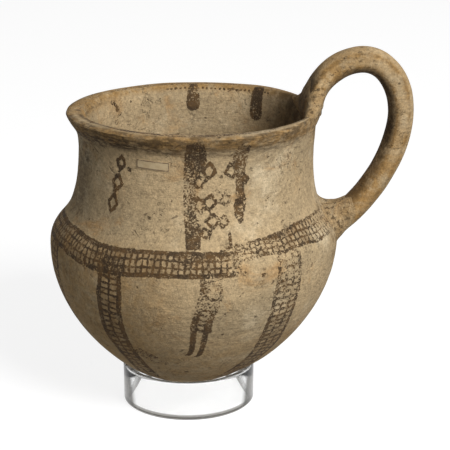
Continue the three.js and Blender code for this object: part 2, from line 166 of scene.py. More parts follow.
@dataclass(frozen=True)
class PotForm:
    """The pot's profile and the unevenness of its hand building, in millimetres."""

    belly_radius: float = 68.2
    belly_rise: float = 70.5
    neck_radius: float = 55.2
    shoulder_rise: float = 45.2
    rim_radius: float = 61.0
    flare_rise: float = 17.0
    lip_crown: float = 1.4
    lip_width: float = 7.6
    mouth_drop: float = 0.28
    base_wall: float = 7.0
    belly_wall: float = 5.5
    neck_wall: float = 5.0
    joint_rise: float = 20.5
    lean: float = 0.031
    offset: float = 1.0
    offset_rise: float = 12.0
    pinched_flare: float = 0.1
    pinch_angles: Pair = (20, 60)
    ring_top: float = 18.5
    fineness: int = 240

    @property
    def waist(self) -> float:
        """Level of the narrowest part of the neck."""
        return self.belly_rise + self.shoulder_rise

    @property
    def lip_level(self) -> float:
        """Level of the outer edge of the lip."""
        return self.waist + self.flare_rise

    @property
    def crown(self) -> float:
        """Level of the top of the lip."""
        return self.lip_level + self.lip_crown

    @property
    def joint(self) -> float:
        """Level of the joint between the bowl and the neck."""
        return self.belly_rise + self.joint_rise

    @property
    def mouth_radius(self) -> float:
        """Radius of the inner edge of the lip."""
        return self.rim_radius - self.lip_width

    def outside(self) -> Array:
        """Outline of the outside from the lowest point to the edge of the lip.

        Returns:
            Radius and level of each point.
        """
        belly, rise = self.belly_radius, self.belly_rise
        flare = self.rim_radius - self.neck_radius
        low = bezier([(0, 0), (belly * 0.47, 0), (belly, rise * 0.514), (belly, rise)],
                     self.fineness)
        middle = bezier([
            (belly, rise), (belly, rise + self.shoulder_rise * 0.379),
            (self.neck_radius, self.waist - self.shoulder_rise * 0.858),
            (self.neck_radius, self.waist),
        ], self.fineness)
        top = bezier([
            (self.neck_radius, self.waist),
            (self.neck_radius, self.waist + self.flare_rise * 0.71),
            (self.rim_radius - flare * 0.42, self.lip_level - self.flare_rise * 0.42),
            (self.rim_radius, self.lip_level),
        ], self.fineness)
        return np.vstack([low, middle[1:], top[1:]])

    def lip(self) -> Array:
        """Round top of the lip, from its outer edge to the edge of the mouth.

        Returns:
            Radius and level of each point.
        """
        return bezier([
            (self.rim_radius, self.lip_level), (self.rim_radius + 0.56, self.crown - 0.14),
            (self.rim_radius - self.lip_width * 0.5, self.crown + 0.42),
            (self.mouth_radius, self.crown - self.mouth_drop),
        ], self.fineness)

    def inside(self) -> Array:
        """Outline of the inside from the lowest point to the edge of the mouth.

        Returns:
            Radius and level of each point.
        """
        outline = self.outside()
        outline = outline[outline[:, 1] <= self.waist + 1e-6]
        along = np.gradient(outline, axis=0)
        along /= np.linalg.norm(along, axis=1)[:, None]
        low = np.interp(outline[:, 1], [0, self.belly_rise], [self.base_wall, self.belly_wall])
        high = np.interp(outline[:, 1], [self.belly_rise, self.waist],
                         [self.belly_wall, self.neck_wall])
        wall = np.where(outline[:, 1] < self.belly_rise, low, high)
        moved = outline + np.stack([-along[:, 1] * wall, along[:, 0] * wall], 1)
        moved = moved[moved[:, 0] >= 0]
        moved[0, 0] = 0
        inner = self.neck_radius - self.neck_wall
        top = bezier([
            (inner, self.waist), (inner, self.waist + self.flare_rise * 0.6),
            (self.mouth_radius - self.neck_wall * 0.5, self.lip_level - self.lip_crown),
            (self.mouth_radius, self.crown - self.mouth_drop),
        ], self.fineness)
        return np.vstack([moved, top[1:]])

    def section(self) -> Array:
        """Outline of the whole wall, up the outside, over the lip and down the inside."""
        return np.vstack([self.outside(), self.lip()[1:], self.inside()[::-1][1:]])

    def flare_share(self, angle: Array) -> Array:
        """Share of the flare that is left beside the handle, by degrees from it."""
        open_share = smooth_step(*self.pinch_angles, np.abs(angle))
        return self.pinched_flare + (1 - self.pinched_flare) * open_share

    def pressed(self, points: Array) -> Array:
        """Places after the rim is pressed in beside the handle, with levels as heights.

        Args:
            points: places about the pot's axis.

        Returns:
            The moved places.
        """
        out = points.copy()
        radius = np.hypot(points[..., 0], points[..., 1])
        share = self.flare_share(np.degrees(np.arctan2(points[..., 1], points[..., 0])))
        flared = (points[..., 2] > self.waist) & (radius > self.neck_radius)
        new = self.neck_radius + (radius - self.neck_radius) * share
        scale = np.where(flared, new / np.maximum(radius, 1e-6), 1)
        out[..., 0] *= scale
        out[..., 1] *= scale
        return out


@dataclass(frozen=True)
class Stance:
    """Where the pot stands: its lowest point's height, its middle, and its lean, in millimetres."""

    form: PotForm
    base: float
    centre: Pair

    def stood(self, points: Array) -> Array:
        """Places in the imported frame.

        Args:
            points: places about the pot's axis, with levels as heights.

        Returns:
            The moved places.
        """
        form, out = self.form, points.copy()
        out[..., 2] += self.base
        above = out[..., 2] - form.ring_top
        out[..., 0] += self.centre[0] + form.offset * smooth_step(0, form.offset_rise, above)
        out[..., 0] += form.lean * above
        out[..., 1] += self.centre[1]
        return out


class WallMap:
    """Distances along the wall's section: up the outside, over the lip and down the inside."""

    def __init__(self, form: PotForm) -> None:
        """Measures the form's outlines.

        Args:
            form: the pot's form.
        """
        self.form = form
        self.outline = form.section()
        self.runs = lengths(self.outline)
        self.outside, self.inside = form.outside(), form.inside()
        self.up_runs, self.down_runs = lengths(self.outside), lengths(self.inside)
        self.lip = float(self.up_runs[-1])
        self.mouth = float(self.runs[-1] - self.down_runs[-1])

    def up(self, level: float) -> float:
        """Distance up the outside to a level. Beyond the lip's edge, levels count along the lip."""
        beyond = max(level - self.form.lip_level, 0)
        return float(np.interp(level, self.outside[:, 1], self.up_runs)) + beyond

    def down(self, level: float) -> float:
        """Distance down the inside to a level. Past the mouth, levels count back along the lip."""
        beyond = max(level - float(self.inside[-1, 1]), 0)
        return float(self.runs[-1] - np.interp(level, self.inside[:, 1], self.down_runs)) - beyond

    def radius(self, run: object) -> Array:
        """Radius of the section at a distance."""
        return np.interp(run, self.runs, self.outline[:, 0])

    def level(self, run: object) -> Array:
        """Level of the section at a distance."""
        return np.interp(run, self.runs, self.outline[:, 1])

    def girth(self, level: object) -> Array:
        """Radius of the outside at a level."""
        return self.radius(np.interp(level, self.outside[:, 1], self.up_runs))

    def found(self, points: Array) -> WallPlaces:
        """Where turned places lie on the wall.

        Args:
            points: the places, with levels as heights.

        Returns:
            The same places, as the wall counts them.
        """
        angle = np.degrees(np.arctan2(points[:, 1], points[:, 0]))
        radius = np.hypot(points[:, 0], points[:, 1])
        flat = np.round(np.stack([radius, points[:, 2]], 1), 2)
        unique, back = np.unique(flat, axis=0, return_inverse=True)
        away = np.linalg.norm(unique[:, None, :] - self.outline[None, :, :], axis=2)
        run = self.runs[np.argmin(away, axis=1)][np.ravel(back)]
        return WallPlaces(angle, radius, run, points[:, 2])

    def skin(self, angle: Array, run: Array, raised: float = 0.0) -> Array:
        """Places on the skin once the rim is pressed in, or raised from it.

        Args:
            angle: degrees from the handle.
            run: distance along the section.
            raised: how far the place lies out of the skin. Below 0 it is sunk.

        Returns:
            Places about the pot's axis, with levels as heights.
        """
        step = 0.2
        across = self.radius(run + step) - self.radius(run - step)
        rise = self.level(run + step) - self.level(run - step)
        size = np.maximum(np.hypot(across, rise), 1e-6)
        radius = self.radius(run) + rise / size * raised
        level = self.level(run) - across / size * raised
        turn = np.radians(angle)
        places = np.stack([radius * np.cos(turn), radius * np.sin(turn), level], -1)
        return self.form.pressed(places)


@dataclass(frozen=True)
class WallPlaces:
    """Places on the wall: degrees round the axis, radius, distance along the section, and level."""

    angle: Array
    radius: Array
    run: Array
    level: Array


# The painted plan


class Motif(Enum):
    """Kinds of brushwork."""

    NET = "net"
    BAR = "bar"
    DOTS = "dots"
    LOZENGES = "lozenges"


@dataclass(frozen=True)
class Mark:
    """One place on a painted path."""

    angle: float
    level: float
    half_width: float
    strength: float = 1.0


@dataclass(frozen=True)
class Brushwork:
    """One painted path: a net, a bar or a row of dots, and how its lines are spaced."""

    name: str
    motif: Motif
    marks: tuple[Mark, ...]
    rows: float = 3
    pitch: float = 2.7
    border: float = 0.9
    line: float = 0.35
    inside: bool = False
    round_end: bool = False
    farthest: float = 25
    end_fade: Pair = (0.3, 1.1)
    side_fade: Pair = (2.5, 5)

    def place(self, at: WallPlaces, wall: WallMap) -> Array:
        """Across, along, half width and strength of the path at each place.

        Args:
            at: the places.
            wall: the map of the wall.

        Returns:
            Four values for each place. Strength is 0 away from the path.
        """
        run_at = wall.down if self.inside else wall.up
        best = np.full(len(at.angle), np.inf)
        result = np.zeros((len(at.angle), 4))
        travelled = 0.0
        for first, last in zip(self.marks, self.marks[1:]):
            start, end = run_at(first.level), run_at(last.level)
            girth = float(wall.radius((start + end) / 2))
            length = math.hypot(math.radians(last.angle - first.angle) * girth, end - start)
            for turn in (-360, 0, 360):
                x0 = np.radians(first.angle + turn - at.angle) * at.radius
                x1 = np.radians(last.angle + turn - at.angle) * at.radius
                y0, y1 = start - at.run, end - at.run
                dx, dy = x1 - x0, y1 - y0
                square = np.maximum(dx * dx + dy * dy, 1e-9)
                reach = -(x0 * dx + y0 * dy) / square
                share = np.clip(reach, 0, 1)
                distance = np.hypot(x0 + share * dx, y0 + share * dy)
                side = 1.0 if self.motif is Motif.BAR else np.sign(x0 * dy - y0 * dx)
                across = side * np.minimum(distance, self.farthest)
                half = first.half_width + share * (last.half_width - first.half_width)
                strength = first.strength + share * (last.strength - first.strength)
                if not self.round_end:
                    beyond = np.abs(reach - share) * np.sqrt(square)
                    strength = strength * (1 - smooth_step(*self.end_fade, beyond))
                near = distance < best
                best = np.where(near, distance, best)
                values = np.stack([across, travelled + share * length, half, strength], 1)
                result[near] = values[near]
            travelled += length
        result[:, 3] *= 1 - smooth_step(*self.side_fade, best - result[:, 2])
        return result


@dataclass(frozen=True)
class Lozenge:
    """One hollow lozenge: its middle, half sizes, turn and strength."""

    angle: float
    level: float
    half_width: float
    half_height: float
    turn: float = 0.0
    strength: float = 1.0


@dataclass(frozen=True)
class LozengeChain:
    """Hollow lozenges painted one by one."""

    name: str
    lozenges: tuple[Lozenge, ...]
    line: float = 0.62
    fade: Pair = (1.8, 2.4)
    motif: Motif = Motif.LOZENGES

    def place(self, at: WallPlaces, wall: WallMap) -> Array:
        """Share across, share up, size and strength of the nearest lozenge at each place.

        Args:
            at: the places.
            wall: the map of the wall.

        Returns:
            Four values for each place. Strength is 0 away from the lozenges.
        """
        best = np.full(len(at.angle), np.inf)
        result = np.zeros((len(at.angle), 4))
        for one in self.lozenges:
            x = np.radians((at.angle - one.angle + 180) % 360 - 180) * at.radius
            y = at.run - wall.up(one.level)
            cos, sin = math.cos(math.radians(one.turn)), math.sin(math.radians(one.turn))
            u = np.abs(x * cos + y * sin) / one.half_width
            v = np.abs(y * cos - x * sin) / one.half_height
            near = u + v < best
            best = np.where(near, u + v, best)
            size = one.half_width * one.half_height / math.hypot(one.half_width, one.half_height)
            strength = one.strength * (1 - smooth_step(*self.fade, u + v))
            result[near] = np.stack([u, v, np.full_like(u, size), strength], 1)[near]
        return result


Paintwork = Brushwork | LozengeChain


def painted(name: str, motif: Motif, marks: Sequence[tuple[float, ...]],
            **settings: float) -> Brushwork:
    """Brushwork from plain tuples of angle, level, half width and strength."""
    return Brushwork(name, motif, tuple(Mark(*mark) for mark in marks), **settings)


@dataclass(frozen=True)
class PaintedPlan:
    """All brushwork on the pot."""

    def shoulder(self) -> list[Brushwork]:
        """The net band on the shoulder, in two lengths that miss each other by a few millimetres.

        Returns:
            The paths.
        """
        long = [
            (-70.5, 78.2, 4.6, 0.45), (-80, 78.3, 4.6, 0.82), (-90, 78.4, 5.0, 0.95),
            (-108, 78.4, 5.1, 1), (-123, 77.4, 5.4, 1), (-135, 78.0, 5.4, 0.85),
            (-152, 80.5, 5.1, 0.85), (-170, 81.0, 5.0, 0.9), (-190, 80.2, 5.2, 0.95),
            (-215, 79.4, 5.0, 0.8), (-240, 80.4, 5.2, 0.9), (-270, 79.6, 5.2, 0.95),
            (-300, 80.6, 5.0, 0.8), (-330, 80.0, 5.1, 0.9), (-354, 80.2, 5.0, 0.8),
        ]
        short = [
            (-75.5, 81.6, 3.6, 0.45), (-62, 83.2, 3.6, 0.78), (-53, 83.2, 4.2, 0.82),
            (-41, 84.4, 4.7, 0.88), (-32, 83.8, 5.6, 0.78), (-22, 84.0, 5.6, 0.6),
            (-8, 83.4, 5.4, 0.35),
        ]
        smears = {
            "smear_crossing": [
                (-131, 78.6, 2.6, 0.42), (-124, 76.2, 3.6, 0.62), (-117, 75.8, 2.6, 0.45),
            ],
            "smear_band": [
                (-99, 79.4, 2.2, 0.34), (-93, 80.6, 2.8, 0.6), (-84, 81.4, 2.4, 0.62),
                (-76, 81.6, 1.6, 0.45),
            ],
            "smear_band_right": [
                (-60, 85.6, 1.6, 0.5), (-50, 86.4, 1.6, 0.56), (-43, 88.2, 1.2, 0.4),
            ],
            "smear_base": [
                (-119, 34, 2.2, 0.36), (-115, 30, 3.6, 0.5), (-110, 27, 3.2, 0.42),
                (-105, 25, 2.0, 0.3),
            ],
        }
        nets = [("shoulder_net", long, 2.75, 1.15), ("shoulder_net_right", short, 2.9, 0.8)]
        return [
            *(painted(name, Motif.NET, marks, rows=3, pitch=pitch, border=border, line=0.46)
              for name, marks, pitch, border in nets),
            *(painted(name, Motif.BAR, marks, round_end=True) for name, marks in smears.items()),
        ]

    def belly(self) -> list[Brushwork]:
        """The ladders that run down from the band to the base.

        Returns:
            The paths.
        """
        found = [
            painted("ladder_left", Motif.NET, [
                (-123.5, 73.5, 5.0, 1), (-124.1, 63.8, 5.6, 0.92), (-125.3, 54.8, 5.5, 0.88),
                (-126.0, 45, 5.3, 0.9), (-126.1, 38, 5.0, 0.85), (-125, 30, 4.5, 0.85),
                (-124, 22, 4.4, 0.8), (-124, 14, 4.6, 0.75), (-124, 5, 4.4, 0.6),
            ], rows=2, pitch=3.1, border=1.35, line=0.55),
            painted("ladder_middle_top", Motif.NET, [
                (-83.9, 73.5, 3.4, 0.44), (-83.7, 64, 3.5, 0.5), (-85.2, 57.5, 3.4, 0.62),
            ], rows=1, pitch=3.4, border=1.7, line=1.1),
            painted("ladder_middle", Motif.NET, [
                (-85.2, 57.6, 3.1, 0.55), (-86.7, 50, 3.2, 0.9), (-87.0, 46.5, 3.1, 0.95),
            ], rows=1, pitch=2.9, border=1.6, line=0.6),
            painted("ladder_right", Motif.NET, [
                (-51.3, 79, 6.0, 0.52), (-51.2, 66, 6.6, 0.62), (-51.6, 56, 6.7, 0.68),
                (-51.3, 44, 6.6, 0.78), (-50.4, 32, 6.6, 0.8), (-52, 24, 5.6, 0.8),
                (-55, 17, 5.0, 0.74), (-58, 9, 4.4, 0.6),
            ], rows=3, pitch=3.0, border=1.1, line=0.62),
            painted("ladder_far_left", Motif.NET, [
                (-162, 75, 4.8, 0.85), (-162.5, 60, 5.0, 0.7), (-163, 44, 5.0, 0.75),
                (-162, 28, 4.6, 0.8), (-160, 8, 4.2, 0.6),
            ], rows=2, pitch=3.0, border=1.2, line=0.5),
        ]
        ladders = [(31, 2, 0.6), (69, 2, 0.95), (107, 3, 0.7), (152, 2, 0.9)]
        back = [
            painted(f"ladder_back_{index}", Motif.NET, [
                (angle, 75, 5.4, 0.9), (angle + 1, 62, 5.6, worn), (angle - 1, 46, 5.4, 0.85),
                (angle, 30, 4.8, 0.8), (angle - 2, 8, 4.2, 0.6),
            ], rows=rows, pitch=3.0, border=1.2, line=0.52)
            for index, (angle, rows, worn) in enumerate(ladders)
        ]
        return found + back

    def bars(self) -> list[Brushwork]:
        """Plain strokes: the neck's uprights, the feet of the middle ladder and the tongues inside.

        Returns:
            The paths.
        """
        outside = {
            "neck_upright": [
                (-91.1, 130.8, 3.9, 0.95), (-90.9, 123, 5.0, 0.8), (-92.4, 117, 3.9, 0.56),
                (-93.4, 112, 2.8, 0.58), (-92.9, 98, 2.7, 0.6), (-91.2, 92.5, 3.7, 0.78),
                (-91.0, 84, 3.2, 0.9),
            ],
            "neck_upright_right": [
                (-69.3, 129, 3.0, 0.6), (-70.9, 124, 4.1, 0.56), (-69.9, 115, 2.2, 0.76),
                (-69.9, 107.7, 1.9, 0.85), (-69.4, 102.6, 2.8, 0.76), (-70.5, 98, 2.4, 0.7),
                (-69.7, 94.2, 1.1, 0.7),
            ],
            "neck_tail": [(-75.2, 90.5, 0.8, 0.8), (-75.4, 84.6, 0.8, 0.8), (-80, 83.2, 0.8, 0.8)],
            "ladder_leg_left": [(-89.6, 50, 1.5, 0.95), (-90.3, 36, 1.35, 1), (-91.3, 32.4, 1.2, 1),
                                (-93.2, 31.4, 0.7, 1)],
            "ladder_leg_right": [(-84.4, 50, 1.5, 0.9), (-85.7, 36, 1.3, 1), (-86.6, 32, 1.1, 1),
                                 (-88.6, 30.6, 0.7, 1)],
            "back_upright_left": [(98, 130, 3.8, 0.9), (97, 108, 3.2, 0.65), (98, 84, 3.4, 0.9)],
            "back_upright_right": [(76, 130, 2.4, 0.75), (77, 108, 2.2, 0.55), (76, 85, 2.2, 0.8)],
            "lip_line": [
                (-138, 139.0, 0.5, 0.15), (-131, 138.8, 1.1, 0.6), (-123, 138.6, 1.5, 0.78),
                (-113, 138.2, 1.3, 0.72), (-107, 136.8, 0.8, 0.6), (-100, 136.2, 0.9, 0.62),
                (-92, 136.4, 1.0, 0.62), (-84, 136.8, 1.7, 0.74), (-76, 137.2, 1.3, 0.6),
                (-64, 137.6, 0.8, 0.45), (-50, 138.0, 0.6, 0.3),
            ],
            "lip_line_far": [
                (150, 139.2, 0.6, 0.3), (125, 139.2, 0.6, 0.5), (100, 139.4, 0.6, 0.6),
                (70, 139.2, 0.6, 0.5), (45, 139.2, 0.5, 0.35),
            ],
            "lip_marks": [(-147, 139, 1.6, 0.5), (-151, 141.5, 1.2, 0.5)],
            "round_blot": [(-63.8, 71.9, 1.0, 0.8), (-63.0, 71.8, 1.0, 0.8)],
            "chain_blot": [(-122.6, 116.2, 1.0, 0.9), (-123.6, 117.4, 0.7, 0.9)],
            "chain_link_high": [(-128.6, 115.2, 0.55, 0.9), (-129.2, 113.8, 0.5, 0.9)],
            "chain_link_low": [(-131.6, 105.8, 0.55, 0.9), (-131.6, 104.4, 0.5, 0.9)],
        }
        inside = {
            "tongue_1": [(54.6, 133.4, 2.9, 0.9), (54.4, 127, 3.5, 1.1), (54.2, 121.4, 3.5, 1.1)],
            "tongue_2": [(91.7, 133.6, 2.2, 0.7), (91.7, 130.6, 2.6, 0.4), (91.7, 128.6, 3.1, 1.05),
                         (91.6, 124.2, 3.4, 1.1)],
            "tongue_3": [(-52, 133.4, 2.8, 0.8), (-52.4, 127, 3.4, 0.9), (-52, 122, 3.2, 0.8)],
            "tongue_4": [(-91, 133.4, 2.8, 0.8), (-91.4, 128, 3.3, 0.9), (-91, 123, 3.2, 0.8)],
            "inner_mark": [(142, 129.4, 1.5, 0.7), (140, 127.8, 0.8, 0.75), (139, 125.6, 1.5, 0.8)],
        }
        blunt = ("lip", "round", "chain")
        return [
            *(painted(name, Motif.BAR, marks, round_end=name.startswith(blunt))
              for name, marks in outside.items()),
            *(painted(name, Motif.BAR, marks, inside=True, round_end=True)
              for name, marks in inside.items()),
        ]

    def dots(self) -> list[Brushwork]:
        """Rows of dots under the rim.

        Returns:
            The paths.
        """
        far = [(angle, 132.2, 0.66, 0.8) for angle in (106, 92, 78, 62, 48)]
        near = [(angle, 139.2, 1.0, 1.0) for angle in (-70, -86, -98, -120)]
        return [
            painted("rim_dots", Motif.DOTS, far, pitch=2.2, inside=True),
            painted("rim_dots_near", Motif.DOTS, near, pitch=2.6),
        ]

    def lozenges(self) -> list[LozengeChain]:
        """The hollow lozenges of the neck.

        Returns:
            The chains.
        """
        chain = (
            Lozenge(-127.4, 118.8, 2.8, 4.2, -14), Lozenge(-129.6, 109.6, 3.3, 4.7, -12),
            Lozenge(-131.4, 100.0, 3.1, 5.1, -8),
        )
        panel = (
            Lozenge(-84.7, 117.4, 3.7, 4.5, -8, 0.95), Lozenge(-89.2, 112.6, 3.2, 3.6, 10, 0.75),
            Lozenge(-84.0, 103.6, 3.6, 4.4, -10, 0.9), Lozenge(-88.6, 102.4, 3.4, 4.0, 14, 0.7),
            Lozenge(-82.6, 95.4, 3.8, 3.8, 0, 0.74), Lozenge(-85.6, 90.2, 2.6, 3.0, 20, 0.8),
            Lozenge(-74.4, 117.2, 3.5, 3.9, 12, 0.85), Lozenge(-67.9, 113.0, 2.1, 2.4, 0, 0.9),
            Lozenge(-70.2, 101.6, 2.8, 4.2, 6, 0.85), Lozenge(-76.8, 104.6, 3.0, 3.8, 18, 0.6),
            Lozenge(-77.8, 94.8, 3.0, 3.4, -14, 0.62),
        )
        back = tuple(
            Lozenge(angle, level, 3.0, 4.3, 6 * (-1) ** index, 0.8)
            for angle in (84, 90, 134, 40)
            for index, level in enumerate((118, 109, 100))
        )
        return [LozengeChain("chain_left", chain, 0.82), LozengeChain("panel", panel, 0.76),
                LozengeChain("back_lozenges", back, 0.7)]

    def all(self) -> list[Paintwork]:
        """Every painted path and chain."""
        return [*self.shoulder(), *self.belly(), *self.bars(), *self.dots(), *self.lozenges()]


# Work at the bench: small steps of modelling by hand


class Bench:
    """Starts, shapes and finishes one piece with Blender's own operators."""

    @staticmethod
    def clear() -> None:
        """Nothing selected, and object mode."""
        if bpy.context.object and bpy.context.object.mode != "OBJECT":
            bpy.ops.object.mode_set(mode="OBJECT")
        bpy.ops.object.select_all(action="DESELECT")

    @staticmethod
    def edit() -> None:
        """Edit mode with the whole mesh selected."""
        bpy.ops.object.mode_set(mode="EDIT")
        bpy.ops.mesh.select_mode(type="VERT")
        bpy.ops.mesh.select_all(action="SELECT")

    @staticmethod
    def close() -> None:
        """Doubles merged, faces turned out, and back to object mode."""
        bpy.ops.mesh.select_all(action="SELECT")
        bpy.ops.mesh.remove_doubles(threshold=1e-6)
        bpy.ops.mesh.normals_make_consistent(inside=False)
        bpy.ops.object.mode_set(mode="OBJECT")

    @staticmethod
    def extrude(step: tuple[float, float, float]) -> None:
        """Extrudes what is selected by a step in metres."""
        bpy.ops.mesh.extrude_region_move(TRANSFORM_OT_translate={"value": step})

    @staticmethod
    def named(name: str) -> Piece:
        """Names the piece just started.

        Args:
            name: its name.

        Returns:
            The piece.
        """
        piece = bpy.context.object
        piece.name = piece.data.name = name
        return piece

    @staticmethod
    def turned(name: str, outline: Array, steps: int) -> Piece:
        """A body turned about Z from an outline that is drawn point by point.

        Args:
            name: the piece's name.
            outline: radius and height in millimetres. It ends on the axis or where it began.
            steps: steps in a full turn.

        Returns:
            The closed piece.
        """
        Bench.clear()
        bpy.ops.mesh.primitive_plane_add(size=MM)
        piece = Bench.named(name)
        Bench.edit()
        bpy.ops.mesh.merge(type="CENTER")
        bpy.ops.transform.translate(value=(outline[0][0] * MM, 0, outline[0][1] * MM))
        for before, after in zip(outline, outline[1:]):
            step = (after - before) * MM
            Bench.extrude((step[0], 0, step[1]))
        bpy.ops.mesh.select_all(action="SELECT")
        bpy.ops.mesh.spin(steps=steps, angle=FULL_TURN, center=(0, 0, 0), axis=(0, 0, 1))
        Bench.close()
        return piece

    @staticmethod
    def wrapped(name: str, grid: Array) -> Piece:
        """A closed collar: a ring extruded round after round and joined to its own start.

        Args:
            name: the piece's name.
            grid: the place of each vertex, by round and by step, in millimetres.

        Returns:
            The piece.
        """
        rounds, steps = grid.shape[:2]
        rise = 0.01
        Bench.clear()
        bpy.ops.mesh.primitive_circle_add(vertices=steps, radius=1, fill_type="NOTHING")
        piece = Bench.named(name)
        Bench.edit()
        for _ in range(rounds - 1):
            Bench.extrude((0, 0, rise))
        bpy.ops.object.mode_set(mode="OBJECT")
        rough = Bench.places(piece) * MM
        row = np.rint(rough[:, 2] / rise).astype(int)
        column = np.rint(np.arctan2(rough[:, 1],
                                    rough[:, 0]) / FULL_TURN * steps).astype(int) % steps
        ends = (row == 0) | (row == rounds - 1)
        piece.data.vertices.foreach_set("select", ends)
        piece.data.edges.foreach_set("select", [bool(ends[a] and ends[b]) for a, b in
                                                (edge.vertices for edge in piece.data.edges)])
        piece.data.polygons.foreach_set("select", [False] * len(piece.data.polygons))
        Bench.move(piece, grid[row, column])
        bpy.ops.object.mode_set(mode="EDIT")
        bpy.ops.mesh.select_mode(type="EDGE")
        bpy.ops.mesh.bridge_edge_loops()
        Bench.close()
        return piece

    @staticmethod
    def places(piece: Piece) -> Array:
        """The piece's vertices in millimetres.

        Args:
            piece: the piece.

        Returns:
            A row for each vertex.
        """
        flat = np.zeros(len(piece.data.vertices) * 3, np.float32)
        piece.data.vertices.foreach_get("co", flat)
        return flat.reshape(-1, 3).astype(float) / MM

    @staticmethod
    def move(piece: Piece, places: Array) -> None:
        """Puts the piece's vertices at places in millimetres."""
        piece.data.vertices.foreach_set("co", (places * MM).astype(np.float32).ravel())
        piece.data.update()

    @staticmethod
    def only(piece: Piece) -> None:
        """Selects one piece and nothing else.

        Args:
            piece: the piece.
        """
        Bench.clear()
        piece.select_set(True)
        bpy.context.view_layer.objects.active = piece

    @staticmethod
    def smooth(piece: Piece, angle: float = 40) -> None:
        """Smooth shading, with edges sharper than an angle kept."""
        Bench.only(piece)
        bpy.ops.object.shade_smooth_by_angle(angle=math.radians(angle))

    @staticmethod
    def apply(piece: Piece, kind: str, **settings: object) -> None:
        """Adds one modifier and applies it.

        Args:
            piece: the piece.
            kind: the modifier's type.
            settings: its settings.
        """
        Bench.only(piece)
        modifier = piece.modifiers.new(kind.title(), kind)
        for key, value in settings.items():
            setattr(modifier, key, value)
        bpy.ops.object.modifier_apply(modifier=modifier.name)

    @staticmethod
    def note(piece: Piece, name: str, values: Array) -> None:
        """Keeps four values on each vertex for a material to read."""
        layer = piece.data.attributes.new(name, "FLOAT_COLOR", "POINT")
        layer.data.foreach_set("color", values.astype(np.float32).ravel())

    @staticmethod
    def hand_in(piece: Piece, node: str, body: str, slot: str,
                material: bpy.types.Material) -> None:
        """Gives a finished piece its material and body, and hides the CAD part that it stands for.

        Args:
            piece: the piece.
            node: the CAD node that it stands for.
            body: the body that it rides.
            slot: not used.
            material: its material.
        """
        piece.data.materials.append(material)
        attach(piece, body)
        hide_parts(node)
        log.info("%s: %d vertices", piece.name, len(piece.data.vertices))


# Materials


